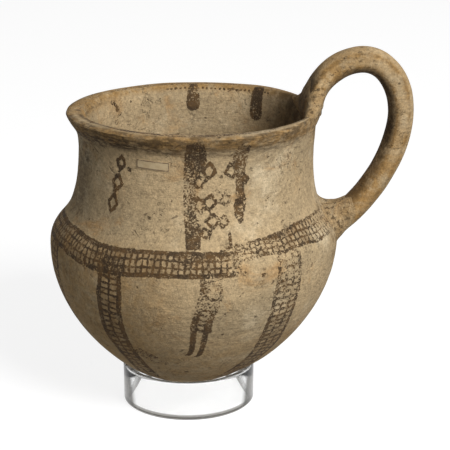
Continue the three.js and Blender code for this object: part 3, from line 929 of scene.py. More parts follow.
class Sketch:
    """Adds nodes to a tree and joins them up."""

    def __init__(self, tree: Tree) -> None:
        """Keeps the tree."""
        self.tree = tree

    def node(self, kind: str, inputs: dict[object, object] | None = None,
             **settings: object) -> bpy.types.Node:
        """Adds one node and fills its inputs.

        Args:
            kind: the node's type, without its prefix.
            inputs: outputs or plain values, by the inputs' names or numbers.
            settings: the node's settings.

        Returns:
            The node.
        """
        made = self.tree.nodes.new("ShaderNode" + kind)
        for key, value in settings.items():
            setattr(made, key, value)
        for key, value in (inputs or {}).items():
            self.put(made.inputs[key], value)
        return made

    def put(self, socket: Socket, value: object) -> None:
        """Links an output to a socket, or sets the socket's own value.

        Args:
            socket: the input.
            value: an output, a number, a colour or a vector.
        """
        if isinstance(value, Socket):
            self.tree.links.new(value, socket)
        elif isinstance(value, tuple) and len(value) == 3 and socket.type == "RGBA":
            socket.default_value = (*value, 1)
        else:
            socket.default_value = value

    def math(self, operation: str, *values: object) -> Socket:
        """The result of one sum on numbers or outputs."""
        return self.node("Math", dict(enumerate(values)), operation=operation).outputs[0]

    def times(self, *values: object) -> Socket:
        """The product of several numbers or outputs."""
        return reduce(lambda first, second: self.math("MULTIPLY", first, second), values)

    def total(self, *values: object) -> Socket:
        """The sum of several numbers or outputs."""
        return reduce(lambda first, second: self.math("ADD", first, second), values)

    def less(self, value: object, other: object) -> Socket:
        """A value less another."""
        return self.math("SUBTRACT", value, other)

    def coat(self, colour: object, height: object, roughness: float, bump: Pair,
             gloss: float = 0.5) -> None:
        """Ends a material with one opaque surface and its bumps.

        Args:
            colour: its colour.
            height: the height that its bumps follow.
            roughness: its roughness.
            bump: strength and depth of the bumps.
            gloss: its specular level.
        """
        relief = self.node("Bump", {"Height": height, "Strength": bump[0], "Distance": bump[1]})
        shader = self.node("BsdfPrincipled", {
            "Base Color": colour, "Roughness": roughness, "Specular IOR Level": gloss,
            "Normal": relief.outputs[0],
        })
        self.node("OutputMaterial", {"Surface": shader.outputs[0]})

    def span(self, value: object, low: float, high: float, start: float = 0.0, end: float = 1.0,
             smooth: bool = True) -> Socket:
        """A value carried from one range to another.

        Args:
            value: the value.
            low: where the range starts.
            high: where it ends.
            start: the result at low.
            end: the result at high.
            smooth: whether the ends are eased.

        Returns:
            The output.
        """
        kind = "SMOOTHSTEP" if smooth else "LINEAR"
        inputs = {"Value": value, "From Min": low, "From Max": high, "To Min": start, "To Max": end}
        return self.node("MapRange", inputs, interpolation_type=kind, clamp=True).outputs["Result"]

    def mix(self, share: object, first: object, second: object, blend: str = "MIX") -> Socket:
        """Two colours mixed, by the share of the second."""
        inputs = {0: share, 6: first, 7: second}
        return self.node("Mix", inputs, data_type="RGBA", blend_type=blend).outputs[2]

    def noise(self, place: object, scale: float, detail: float = 2.0, rough: float = 0.5,
              twist: float = 0.0) -> Socket:
        """Noise about 0.5, by lumps per metre, finer layers, their strength and their twist."""
        inputs = dict(Vector=place, Scale=scale, Detail=detail, Roughness=rough, Distortion=twist)
        return self.node("TexNoise", inputs).outputs["Fac"]

    def moved(self, place: object, scale: Colour = (1, 1, 1), shift: Colour = (0, 0, 0)) -> Socket:
        """Places stretched and then shifted, for a pattern."""
        inputs = {"Vector": place, "Scale": scale, "Location": shift}
        return self.node("Mapping", inputs).outputs["Vector"]

    def turned(self, place: object, scale: Colour, turn: Colour) -> Socket:
        """Places turned by radians about each axis and then stretched, for a slanting pattern."""
        inputs = {"Vector": place, "Rotation": turn, "Scale": tuple(1 / factor for factor in scale)}
        return self.node("Mapping", inputs, vector_type="TEXTURE").outputs["Vector"]

    def cells(self, place: object, scale: float) -> bpy.types.Node:
        """Random cells, by how many there are in a metre."""
        return self.node("TexVoronoi", {"Vector": place, "Scale": scale}, feature="F1")

    def split(self, colour: object) -> tuple[Socket, ...]:
        """The three parts of a colour or an attribute."""
        return tuple(self.node("SeparateColor", {0: colour}).outputs[:3])

    def use(self, group: Tree, **inputs: object) -> bpy.types.Node:
        """Places a node group, with the names of its inputs written with _ for a space."""
        filled = {name.replace("_", " "): value for name, value in inputs.items()}
        return self.node("Group", filled, node_tree=group)


Started = tuple[Tree, Sketch, bpy.types.Node, bpy.types.Node]


def new_group(name: str, inputs: Sequence[str], outputs: Sequence[str]) -> Started:
    """An empty node group. Its inputs are numbers, apart from Position.

    Args:
        name: the group's name.
        inputs: the names of its inputs.
        outputs: the names of its outputs.

    Returns:
        The group, a sketch of it, and its input and output nodes.
    """
    group = bpy.data.node_groups.new(name, "ShaderNodeTree")
    for way, labels in (("INPUT", inputs), ("OUTPUT", outputs)):
        for label in labels:
            kind = "NodeSocketVector" if label == "Position" else "NodeSocketFloat"
            group.interface.new_socket(name=label, in_out=way, socket_type=kind)
    start, end = group.nodes.new("NodeGroupInput"), group.nodes.new("NodeGroupOutput")
    return group, Sketch(group), start, end


class BrushGroups:
    """Node groups for brushwork. Each puts out how deep in the paint a place is, in millimetres."""

    def __init__(self) -> None:
        """Builds the groups once."""
        self.by_motif = {
            Motif.NET: self.net(),
            Motif.BAR: self.bar(),
            Motif.DOTS: self.dots(),
            Motif.LOZENGES: self.lozenges(),
        }
        self.worn = self.worn_paint()

    def net(self) -> Tree:
        """Borders, row lines and rungs of a net, drawn with an unsteady hand.

        Returns:
            The group.
        """
        names = ("Across", "Along", "Half Width", "Rows", "Pitch", "Border", "Line", "Position")
        group, s, start, end = new_group("brushed_net", names, ("Depth", "Wash"))
        across, along, half, rows, pitch, border, line, place = (start.outputs[n] for n in names)
        sway = s.less(s.noise(place, 150, 2), 0.5)
        slip = s.less(s.noise(s.moved(place, shift=(3, 1, 2)), 95, 2), 0.5)
        across = s.total(across, s.times(sway, 1.5))
        along = s.total(along, s.times(slip, 3.0))
        reach = s.math("ABSOLUTE", across)
        edge = s.less(border, s.math("ABSOLUTE", s.less(reach, half)))
        to_row = s.math("PINGPONG", s.total(across, half), s.math("DIVIDE", half, rows))
        to_rung = s.math("PINGPONG", along, s.times(pitch, 0.5))
        swell = s.times(s.less(s.noise(s.moved(place, shift=(1, 5, 4)), 300, 2), 0.42), 1.1)
        rungs = s.less(s.total(line, swell), s.math("MINIMUM", to_row, to_rung))
        within = s.less(half, reach)
        s.put(end.inputs["Depth"], s.math("MAXIMUM", edge, s.math("MINIMUM", rungs, within)))
        s.put(end.inputs["Wash"], s.span(within, -0.4, 0.8))
        return group

    def bar(self) -> Tree:
        """A plain stroke.

        Returns:
            The group.
        """
        group, s, start, end = new_group("brushed_bar", ("Across", "Half Width"), ("Depth",))
        reach = s.math("ABSOLUTE", start.outputs["Across"])
        s.put(end.inputs["Depth"], s.less(start.outputs["Half Width"], reach))
        return group

    def dots(self) -> Tree:
        """A row of dots.

        Returns:
            The group.
        """
        names = ("Across", "Along", "Half Width", "Pitch", "Position")
        group, s, start, end = new_group("brushed_dots", names, ("Depth",))
        across, along, half, pitch, place = (start.outputs[n] for n in names)
        sway = s.times(s.less(s.noise(place, 240, 2), 0.5), 1.4)
        across = s.total(across, sway)
        step = s.math("PINGPONG", s.total(along, sway), s.times(pitch, 0.5))
        away = s.math("SQRT", s.total(s.times(step, step), s.times(across, across)))
        s.put(end.inputs["Depth"], s.less(half, away))
        return group

    def lozenges(self) -> Tree:
        """A hollow lozenge from its shares across and up.

        Returns:
            The group.
        """
        names = ("Share Across", "Share Up", "Size", "Line", "Position")
        group, s, start, end = new_group("brushed_lozenge", names, ("Depth",))
        across, up, size, line, place = (start.outputs[n] for n in names)
        sway = s.times(s.less(s.noise(place, 260, 3), 0.5), 0.4)
        reach = s.total(across, up, sway)
        off = s.times(s.math("ABSOLUTE", s.less(reach, 0.84)), size)
        s.put(end.inputs["Depth"], s.less(line, off))
        return group

    def worn_paint(self) -> Tree:
        """Paint with ragged edges, rubbed away in grains where it is weak.

        Returns:
            The group.
        """
        names = ("Depth", "Strength", "Position")
        group, s, start, end = new_group("worn_paint", names, ("Mask",))
        depth, strength, place = (start.outputs[n] for n in names)
        ragged = s.times(s.less(s.noise(place, 900, 3, 0.65), 0.5), 1.7)
        edge = s.span(s.total(depth, ragged), -0.16, 0.2)
        patches = s.noise(place, 230, 3, 0.6)
        grain = s.noise(place, 1250, 2, 0.62)
        body = s.total(s.times(patches, 0.42), s.times(grain, 0.74))
        threshold = s.span(strength, 0.0, 1.0, 0.75, 0.46, smooth=False)
        kept = s.span(s.less(body, threshold), -0.07, 0.05)
        present = s.span(strength, 0.02, 0.12)
        s.put(end.inputs["Mask"], s.times(edge, kept, present))
        return group


@dataclass(frozen=True)
class Weathering:
    """Patches, stains, scratches, specks and pits of old fired clay. Scales are lumps per metre."""

    patches: float = 26
    pale: float = 36
    stains: float = 48
    wipes: float = 120
    fine: float = 620
    grit: float = 1500
    coarse: float = 260
    specks: float = 190
    speck_share: float = 0.28
    strokes: float = 560
    cross_strokes: float = 480
    scratched: float = 60
    flakes: float = 210

    def group(self) -> Tree:
        """The node group that every clay finish shares.

        Returns:
            The group.
        """
        outputs = ("Patches", "Pale", "Stains", "Mottle", "Specks", "Scratches", "Height")
        group, s, start, end = new_group("weathering", ("Position",), outputs)
        place = start.outputs["Position"]
        patches = s.span(s.noise(place, self.patches, 4, 0.6, 0.4), 0.38, 0.66)
        pale = s.span(s.noise(s.moved(place, shift=(2, 4, 1)), self.pale, 4, 0.65), 0.5, 0.72)
        stains = s.span(s.noise(s.moved(place, shift=(0.3, 0.1, 0.7)), self.stains, 5, 0.66, 0.8),
                        0.53, 0.72)
        wipes = s.noise(s.moved(place, (1, 1, 5)), self.wipes, 4, 0.68)
        fine = s.noise(place, self.fine, 4, 0.75)
        grit = s.noise(s.moved(place, shift=(1, 6, 3)), self.grit, 3, 0.7)
        mottle = s.total(s.times(fine, 0.5), s.times(wipes, 0.16), s.times(grit, 0.34))
        spots = self.spots(s, place, fine)
        where = s.span(s.noise(s.moved(place, shift=(5, 2, 1)), self.scratched, 3, 0.6), 0.46, 0.6)
        strokes = s.noise(s.turned(place, (1, 1, 0.13), (0.4, 0.9, 0)), self.strokes, 2, 0.5)
        cross = s.noise(s.turned(place, (1, 1, 0.11), (-0.7, -0.8, 0)), self.cross_strokes, 2, 0.5)
        scratches = s.times(s.span(s.math("MAXIMUM", strokes, cross), 0.66, 0.72), where)
        flakes = s.noise(s.moved(place, shift=(4, 4, 8)), self.flakes, 3, 0.6, 1.2)
        flake = s.span(s.math("ABSOLUTE", s.less(flakes, 0.62)), 0.0, 0.02, 1.0, 0.0)
        coarse = s.noise(place, self.coarse, 4, 0.6)
        raised = s.total(s.times(grit, 0.5), s.times(coarse, 1.1), s.times(wipes, 0.7),
                         s.times(flake, where, 0.8))
        height = s.less(s.less(raised, s.times(spots, 0.7)), s.times(scratches, 0.6))
        for name, value in zip(outputs, (patches, pale, stains, mottle, spots, scratches, height)):
            s.put(end.inputs[name], value)
        return group

    def spots(self, s: Sketch, place: object, fine: object) -> Socket:
        """Dark specks with ragged edges.

        Args:
            s: the group's sketch.
            place: the places.
            fine: fine noise for the edges.

        Returns:
            The share of speck at each place.
        """
        cells = s.cells(place, self.specks)
        one, two, _ = s.split(cells.outputs["Color"])
        reach = s.less(s.span(two, 0, 1, 0.02, 0.15, smooth=False), cells.outputs["Distance"])
        ragged = s.total(reach, s.times(s.less(fine, 0.5), 0.7))
        return s.times(s.span(ragged, -0.02, 0.05),
                       s.math("GREATER_THAN", one, 1 - self.speck_share))


@dataclass(frozen=True)
class ClayFinish:
    """Slipped clay in linear colours, with each piece's own dirt, ochre and crumbs, and its painted
    shade.
    """

    slip: Colour = (0.51, 0.375, 0.212)
    pale: Colour = (0.66, 0.535, 0.35)
    grey: Colour = (0.32, 0.245, 0.145)
    stain: Colour = (0.40, 0.215, 0.072)
    ochre: Colour = (0.35, 0.208, 0.076)
    # Dark brown for specks, scratches, dirt and crumbs, and also for painted shade.
    grime_and_shade: Colour = (0.055, 0.034, 0.016)
    patched: float = 0.6
    paled: float = 0.7
    stained: float = 0.62
    specked: float = 0.75
    scratched: float = 0.55
    mottle: Pair = (0.56, 1.34)
    crumb_height: float = 3.2
    roughness: float = 0.88
    gloss: float = 0.22
    bump: Pair = (0.9, 0.0006)

    def surface(self, s: Sketch, group: Tree) -> tuple[object, object, object]:
        """Colour, height and places of the bare clay.

        Args:
            s: the material's sketch.
            group: the weathering group.

        Returns:
            The three outputs.
        """
        place = s.node("TexCoord").outputs["Object"]
        worn = s.use(group, Position=place)
        note = s.node("Attribute", attribute_name="wear_and_shade")
        # The note's first part is dirt mixed with painted shade, and its alpha is painted shade
        # alone.
        crease_dirt_and_shade, ochre, crumbs = s.split(note.outputs["Color"])
        painted_shade = note.outputs["Alpha"]
        patchy = s.noise(place, 150, 4, 0.7)
        colour = s.mix(s.times(worn.outputs["Patches"], self.patched), self.slip, self.grey)
        colour = s.mix(s.times(worn.outputs["Pale"], self.paled), colour, self.pale)
        colour = s.mix(s.times(worn.outputs["Stains"], self.stained), colour, self.stain)
        colour = s.mix(s.times(ochre, s.span(patchy, 0.34, 0.6, 0.25, 1.0)), colour, self.ochre)
        tone = s.span(worn.outputs["Mottle"], 0.36, 0.64, *self.mottle, smooth=False)
        shade = s.node("CombineColor", {0: tone, 1: tone, 2: tone})
        colour = s.mix(1.0, colour, shade.outputs[0], "MULTIPLY")
        colour = s.mix(s.times(worn.outputs["Specks"], self.specked), colour, self.grime_and_shade)
        colour = s.mix(s.times(worn.outputs["Scratches"], self.scratched), colour, self.grime_and_shade)
        streaks = s.span(s.noise(s.moved(place, (1, 1, 4)), 170, 4, 0.7), 0.36, 0.6)
        # Dirt streaks; on the pot also painted shade under the lip and on its shaded left edge, and
        # a darker line along the mouth's edge.
        colour = s.mix(s.times(crease_dirt_and_shade, streaks), colour, self.grime_and_shade)
        # Painted shade: darker inside the mouth beside the handle, on the strap's shaded sides, and
        # on the rim collar inside the mouth.
        colour = s.mix(s.times(painted_shade, s.span(patchy, 0.3, 0.6, 0.6, 1.0)), colour, self.grime_and_shade)
        broken = s.noise(place, 430, 4, 0.72)
        colour = s.mix(s.times(crumbs, s.span(broken, 0.54, 0.62), 0.6), colour, self.grime_and_shade)
        height = s.total(worn.outputs["Height"], s.times(crumbs, broken, self.crumb_height))
        return colour, height, place


def new_material(name: str) -> tuple[bpy.types.Material, Sketch]:
    """An empty material that uses nodes, and its sketch.

    Args:
        name: its name.

    Returns:
        The material and the sketch.
    """
    material = bpy.data.materials.new(name)
    material.use_nodes = True
    material.node_tree.nodes.clear()
    return material, Sketch(material.node_tree)


@dataclass(frozen=True)
class PaintFinish:
    """Matt dark paint, as linear colours, from thin to thick, with its greyish bloom."""

    thin: Colour = (0.108, 0.057, 0.02)
    thick: Colour = (0.034, 0.019, 0.009)
    bloom: Colour = (0.088, 0.058, 0.032)
    cover: float = 0.95
    height: float = 0.14
    washed: Pair = (0.55, 1.0)


@dataclass
class ClayWork:
    """Makes the clay materials, each with the brushwork that is on its piece."""

    clay: ClayFinish
    paint: PaintFinish
    groups: BrushGroups
    weathering: Tree

    def depth(self, s: Sketch, work: Paintwork, place: object) -> tuple[object, object, object]:
        """Depth, strength and wash of one path of brushwork.

        Args:
            s: the material's sketch.
            work: the brushwork.
            place: the places.

        Returns:
            The three values. Wash is None where the motif has none.
        """
        note = s.node("Attribute", attribute_name=work.name)
        first, second, third = s.split(note.outputs["Color"])
        group = self.groups.by_motif[work.motif]
        if work.motif is Motif.LOZENGES:
            made = s.use(group, Share_Across=first, Share_Up=second, Size=third, Line=work.line,
                         Position=place)
        elif work.motif is Motif.BAR:
            made = s.use(group, Across=first, Half_Width=third)
        elif work.motif is Motif.DOTS:
            made = s.use(group, Across=first, Along=second, Half_Width=third, Pitch=work.pitch,
                         Position=place)
        else:
            made = s.use(group, Across=first, Along=second, Half_Width=third, Rows=work.rows,
                         Pitch=work.pitch, Border=work.border, Line=work.line, Position=place)
        wash = made.outputs["Wash"] if work.motif is Motif.NET else None
        return made.outputs["Depth"], note.outputs["Alpha"], wash

    def build(self, name: str, works: Sequence[Paintwork] = ()) -> bpy.types.Material:
        """A whole clay material.

        Args:
            name: its name.
            works: the brushwork on the piece.

        Returns:
            The material.
        """
        material, s = new_material(name)
        colour, height, place = self.clay.surface(s, self.weathering)
        mask: object = 0.0
        wash: object = 0.0
        for work in works:
            depth, strength, tinge = self.depth(s, work, place)
            worn = s.use(self.groups.worn, Depth=depth, Strength=strength, Position=place)
            mask = s.math("MAXIMUM", mask, worn.outputs["Mask"])
            if tinge is not None:
                wash = s.math("MAXIMUM", wash, s.times(tinge, s.span(strength, *self.paint.washed)))
        if works:
            blotches = s.noise(s.moved(place, shift=(7, 3, 2)), 190, 3, 0.6)
            wash = s.times(wash, s.span(blotches, 0.36, 0.62, 0.06, 0.5))
            colour = s.mix(wash, colour, self.paint.thin)
            load = s.span(s.noise(place, 170, 3, 0.6), 0.4, 0.6)
            tone = s.mix(load, self.paint.thin, self.paint.thick)
            tone = s.mix(s.span(s.noise(place, 1300, 3, 0.7), 0.46, 0.66), tone, self.paint.bloom)
            colour = s.mix(s.times(mask, self.paint.cover), colour, tone)
            height = s.total(height, s.times(mask, self.paint.height))
        s.coat(colour, height, self.clay.roughness, self.clay.bump, self.clay.gloss)
        return material


@dataclass(frozen=True)
class AcrylicFinish:
    """Clear polished acrylic, with painted grey where it is seen edge on, for the darker
    surroundings that it reflects and bends, and greyer at its ground lower edge.
    """

    tint: Colour = (0.985, 0.99, 0.99)
    # Near-black colour at grazing angles: painted grey for the darker surroundings that the walls
    # reflect and bend.
    edge: Colour = (0.034, 0.032, 0.028)
    painted_grey_facing: Pair = (0.46, 0.6)
    index: float = 1.36
    smear: Pair = (0.015, 0.09)
    ground: Colour = (0.15, 0.142, 0.125)
    ground_height: float = 0.0021

    def build(self) -> bpy.types.Material:
        """Makes the material.

        Returns:
            The material.
        """
        material, s = new_material("clear_acrylic")
        place = s.node("TexCoord").outputs["Object"]
        facing = s.node("LayerWeight", {"Blend": 0.5}).outputs["Facing"]
        smear = s.span(s.noise(s.moved(place, (1, 1, 0.3)), 60, 3, 0.6), 0.45, 0.8, *self.smear)
        level = s.node("SeparateXYZ", {0: place}).outputs["Z"]
        low = s.span(level, self.ground_height * 0.6, self.ground_height, 1.0, 0.0)
        # Painted grey where the ring is seen edge on.
        colour = s.mix(s.span(facing, *self.painted_grey_facing), self.tint, self.edge)
        shader = s.node("BsdfPrincipled", {
            "Base Color": s.mix(low, colour, self.ground), "Roughness": smear, "IOR": self.index,
            "Transmission Weight": 1.0,
        })
        s.node("OutputMaterial", {"Surface": shader.outputs[0]})
        return material


@dataclass(frozen=True)
class PaperFinish:
    """Old paper with a thin border, its colours linear."""

    paper: Colour = (0.54, 0.42, 0.25)
    aged: Colour = (0.42, 0.30, 0.16)
    ink: Colour = (0.10, 0.06, 0.03)
    margin: float = 0.34
    fibres: float = 1500
    roughness: float = 0.8
    bump: Pair = (0.4, 0.0002)

    def build(self) -> bpy.types.Material:
        """Makes the material, which reads distances from the label's edges off the label.

        Returns:
            The material.
        """
        material, s = new_material("label_paper")
        place = s.node("TexCoord").outputs["Object"]
        note = s.node("Attribute", attribute_name="edges")
        side, end, _ = s.split(note.outputs["Color"])
        ragged = s.times(s.less(s.noise(place, 900, 2), 0.5), 0.25)
        edge = s.total(s.math("MINIMUM", side, end), ragged)
        line = s.span(s.math("ABSOLUTE", s.less(edge, self.margin)), 0.16, 0.32, 1.0, 0.0)
        broken = s.span(s.noise(place, 380, 3, 0.6), 0.36, 0.5, 0.35, 1.0)
        colour = s.mix(s.span(s.noise(place, 210, 4, 0.6), 0.35, 0.7), self.paper, self.aged)
        colour = s.mix(s.times(line, broken, 0.8), colour, self.ink)
        s.coat(colour, s.noise(place, self.fibres, 3), self.roughness, self.bump)
        return material


# Sub-assemblies


@dataclass(frozen=True)
class PotWearAndShade:
    """Where dirt, painted shade, ochre and crumbled clay lie. Runs count from an edge of the lip.
    """

    wall: WallMap
    at: WallPlaces
    seed: float
    # Painted shade under the lip's flare, stronger towards the shaded left.
    under_lip_shade: Zone = Zone(126.0, 128.4, 2.8)
    under_lip_shade_left: Pair = (-80, -130)
    under_lip_shade_far_left: Pair = (110, 150)
    mouth_line: Zone = Zone(6.2, 7.4, 1.0)
    mouth_line_left: Zone = Zone(-180, -118, 12)
    mouth_line_middle: Zone = Zone(-112, -60, 14)
    lip_edge: Zone = Zone(-3, 2, 2)
    # Painted shade on the neck's far left edge.
    shaded_limb_level: Zone = Zone(96, 126, 10)
    shaded_limb_angle: Zone = Zone(157, 200, 11)
    far_left: Pair = (120, 165)
    front_lip: Zone = Zone(-156, -24, 24)
    front_lip_run: Pair = (1.5, 3.5)
    inner_edge: Zone = Zone(0, 4, 6)
    base: Zone = Zone(0, 24, 26)
    belly_level: Zone = Zone(20, 76, 14)
    belly_angle: Zone = Zone(-170, -118, 34)
    torn_edge: Zone = Zone(-7, -2, 3)
    torn_angle: Zone = Zone(-172, -104, 14)
    chipped_angle: Zone = Zone(150, 176, 8)
    scars: tuple[Pair, ...] = ((-106, 55), (-149, 67))
    scar_girth: float = 60
    foot_girth: float = 66
    foot_level: float = 77
    foot_fade: Pair = (12, 30)
    tip_girth: float = 56
    tip_fade: Pair = (16, 26)
    # Painted shade down the inside of the mouth, beside the handle.
    shade_run: Zone = Zone(1, 60, 5)
    shade_angle: Pair = (16, 70)

    @property
    def outer(self) -> Array:
        """Whether each place is on the outside."""
        return self.at.run < self.wall.lip + 1

    @property
    def wander(self) -> Array:
        """How far the edges of the under-lip painted shade and of the ochre inside the mouth stray,
        round the pot.
        """
        still = self.at.run * 0
        return lumps(np.stack([self.at.angle * 0.9, still, still], 1), 16, self.seed) * 2.2

    def dirt_and_shade(self) -> Array:
        """Painted shade under the lip and on the neck's far left, a darker line along the mouth's
        edge, and dirt streaks on the lip's outer edge.

        Returns:
            A share for each place.
        """
        angle, run, level, lip = self.at.angle, self.at.run, self.at.level, self.wall.lip
        left = smooth_step(*self.under_lip_shade_left, angle) + smooth_step(*self.under_lip_shade_far_left, angle)
        # Painted shade under the lip, stronger on the left.
        neck = self.under_lip_shade.share(level + self.wander) * self.outer * (0.6 + 0.4 * left)
        near = self.mouth_line_left.share(angle) + self.mouth_line_middle.share(angle) * 0.5
        mouth = self.mouth_line.share(run, lip) * 0.8 * np.clip(near, 0, 1)
        streaks = 0.5 + 0.5 * lumps(np.stack([angle, run * 0, run * 3], 1), 11, self.seed + 6)
        edge = (0.4 + 0.55 * streaks) * self.lip_edge.share(run, lip)
        # Painted shade on the neck's far left edge.
        limb_shade = 0.5 * self.shaded_limb_level.share(level) * self.shaded_limb_angle.share(np.abs(angle))
        return np.maximum.reduce([neck, mouth, edge, limb_shade * self.outer])

    def by_handle(self) -> tuple[Array, Array]:
        """Nearness to the handle's foot and to its tip.

        Returns:
            Two shares for each place.
        """
        turn = np.radians(self.at.angle)
        foot = np.hypot(turn * self.foot_girth, (self.at.level - self.foot_level) * 1.1)
        tip = np.hypot(turn * self.tip_girth, self.at.run - self.wall.lip)
        near_foot = np.where(self.outer, 1 - smooth_step(*self.foot_fade, foot), 0)
        return near_foot, 1 - smooth_step(*self.tip_fade, tip)

    def ochres(self) -> Array:
        """Ochre on the lip, the base, the left of the belly and round the handle's ends.

        Returns:
            A share for each place.
        """
        wall, angle, run, level = self.wall, self.at.angle, self.at.run, self.at.level
        front = self.front_lip.share(angle) * smooth_step(*self.front_lip_run, run - wall.lip)
        low = wall.up(wall.form.lip_level - 4)
        lip = (0.95 - 0.65 * front) * hump(low, wall.mouth + 1, 3.5, run)
        far_left = smooth_step(*self.far_left, np.abs(angle))
        inside = 0.9 * self.inner_edge.share(run + self.wander, wall.mouth) * far_left
        base = 0.5 * self.base.share(level) * self.outer
        belly = 0.6 * self.belly_level.share(level) * self.belly_angle.share(angle) * self.outer
        handle = 0.55 * np.maximum(*self.by_handle())
        return np.maximum.reduce([lip, inside, base, belly, handle])

    def crumbs(self) -> Array:
        """Crumbled clay round the handle's ends, on the lip and at the belly's scars.

        Returns:
            A share for each place.
        """
        wall, angle, run = self.wall, self.at.angle, self.at.run
        foot, tip = self.by_handle()
        torn = self.torn_edge.share(run, wall.lip) * self.torn_angle.share(angle)
        torn += hump(wall.lip + 2, wall.mouth + 3, 2, run) * self.chipped_angle.share(angle)
        found = np.maximum.reduce([foot, tip * 0.7, 0.85 * torn])
        for middle, height in self.scars:
            away = np.hypot(np.radians(angle - middle) * self.scar_girth, self.at.level - height)
            found = np.maximum(found, 0.45 * (1 - smooth_step(3, 9, away)) * self.outer)
        return found

    def shares(self) -> Array:
        """Dirt mixed with painted shade, ochre, crumbled clay, and painted shade alone.

        Returns:
            Four shares for each place.
        """
        # Painted shade inside the mouth beside the handle.
        by_angle = 1 - smooth_step(*self.shade_angle, np.abs(self.at.angle))
        painted_shade = self.shade_run.share(self.at.run, self.wall.mouth) * by_angle
        return np.stack([self.dirt_and_shade(), self.ochres(), self.crumbs(), painted_shade], 1)


@dataclass
class Pot:
    """The bowl and the neck: two turned shells that meet flush, shaped and painted as one."""

    stance: Stance
    wall: WallMap
    steps: int = 320
    spacing: float = 1.25
    inner_spacing: float = 1.9
    joint_edge: float = 0.15
    scarf_rise: float = 4.0
    scarf_tip: float = 1.2
    clay_gap: float = 0.3
    unevenness: float = 0.5
    smooth_base: Pair = (6, 14)
    lip_sag: float = 0.6
    faintest: float = 0.05
    seed: float = 3.1
    plan: PaintedPlan = field(default_factory=PaintedPlan)

    @property
    def form(self) -> PotForm:
        """The pot's form."""
        return self.stance.form

    def outlines(self) -> tuple[Array, Array]:
        """Outlines of the bowl and of the neck.

        Returns:
            Two outlines, as radius and level.
        """
        form, joint = self.form, self.form.joint
        outside, inside = self.wall.outside, self.wall.inside

        def at(outline: Array, level: float) -> float:
            """Radius of an outline at a level."""
            return float(np.interp(level, outline[:, 1], outline[:, 0]))

        def cut(outline: Array, low: float, high: float, spacing: float) -> Array:
            """The stretch of an outline between two levels, at even steps.

            Args:
                outline: the outline, from its lowest point up.
                low: where the stretch starts.
                high: where it ends.
                spacing: the size of a step.

            Returns:
                The stretch's points.
            """
            kept = outline[(outline[:, 1] > low) & (outline[:, 1] < high)]
            ends = [[at(outline, level), level] for level in (low, high)]
            return evenly(np.vstack([ends[:1], kept, ends[1:]]), spacing)

        edge = self.joint_edge
        ledge = (at(outside, joint) + at(inside, joint)) / 2
        tip = joint + self.scarf_rise
        above = tip + self.clay_gap
        bowl = np.vstack([
            cut(outside, 0, joint - edge, self.spacing),
            [[at(outside, joint), joint], [ledge, joint], [at(inside, tip) + self.scarf_tip, tip],
             [at(inside, tip), tip]],
            cut(inside, inside[0, 1], tip - edge, self.inner_spacing)[::-1],
        ])
        neck = np.vstack([
            [[ledge + self.clay_gap, joint], [at(outside, joint), joint]],
            cut(outside, joint + edge, form.lip_level, self.spacing),
            evenly(form.lip(), self.spacing * 0.7)[1:-1],
            cut(inside, above + edge, form.crown - form.mouth_drop, self.inner_spacing * 0.8)[::-1],
            [[at(inside, above), above],
             [at(inside, above) + self.scarf_tip + self.clay_gap, above],
             [ledge + self.clay_gap, joint]],
        ])
        return bowl, neck

    def shaped(self, points: Array, run: Array) -> Array:
        """Turned places with the marks of hand building, moved to where the pot stands.

        Args:
            points: turned places in millimetres, with levels as heights.
            run: their distances along the wall's section.

        Returns:
            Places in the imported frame.
        """
        radius = np.hypot(points[:, 0], points[:, 1])
        outer = run < (self.wall.lip + self.wall.mouth) / 2
        swell = 0.5 + 0.5 * lumps(points, 34, self.seed)
        dents = 0.5 + 0.5 * lumps(points * np.array([1, 1, 1.6]), 13, self.seed + 5)
        wipes = 0.5 + 0.5 * lumps(points * np.array([0.25, 0.25, 2.4]), 9, self.seed + 9)
        rough = 0.5 * swell + 0.3 * dents + 0.2 * wipes
        push = np.where(outer, -self.unevenness, self.unevenness * 0.8) * rough
        push *= smooth_step(*self.smooth_base, points[:, 2])
        moved = points.copy()
        moved[:, :2] *= (1 + push / np.maximum(radius, 12))[:, None]
        lip = smooth_step(self.form.lip_level - 3, self.form.lip_level, points[:, 2])
        sag = 0.5 + 0.5 * lumps(points * np.array([1, 1, 0]), 21, self.seed + 2)
        moved[:, 2] -= lip * self.lip_sag * sag
        return self.stance.stood(self.form.pressed(moved))

    def noted(self, piece: Piece, at: WallPlaces) -> list[Paintwork]:
        """Writes the brushwork's places and the wear and painted shade on a piece.

        Args:
            piece: the piece.
            at: where its vertices lie on the wall, before hand building.

        Returns:
            The brushwork that reaches the piece.
        """
        kept = []
        for work in self.plan.all():
            values = work.place(at, self.wall)
            if values[:, 3].max() > self.faintest:
                Bench.note(piece, work.name, values)
                kept.append(work)
        Bench.note(piece, "wear_and_shade", PotWearAndShade(self.wall, at, self.seed).shares())
        return kept

    def build(self, work: ClayWork) -> None:
        """Models and dresses the two shells.

        Args:
            work: the maker of clay materials.
        """
        shells = zip(("clay_bowl", "clay_neck"), ("bowl", "neck"), self.outlines())
        for name, node, outline in shells:
            piece = Bench.turned(name, outline, self.steps)
            points = Bench.places(piece)
            at = self.wall.found(points)
            material = work.build(name + "_painted", self.noted(piece, at))
            Bench.move(piece, self.shaped(points, at.run))
            Bench.smooth(piece)
            Bench.hand_in(piece, node, TANKARD_BODY, CLAY_SLOT, material)


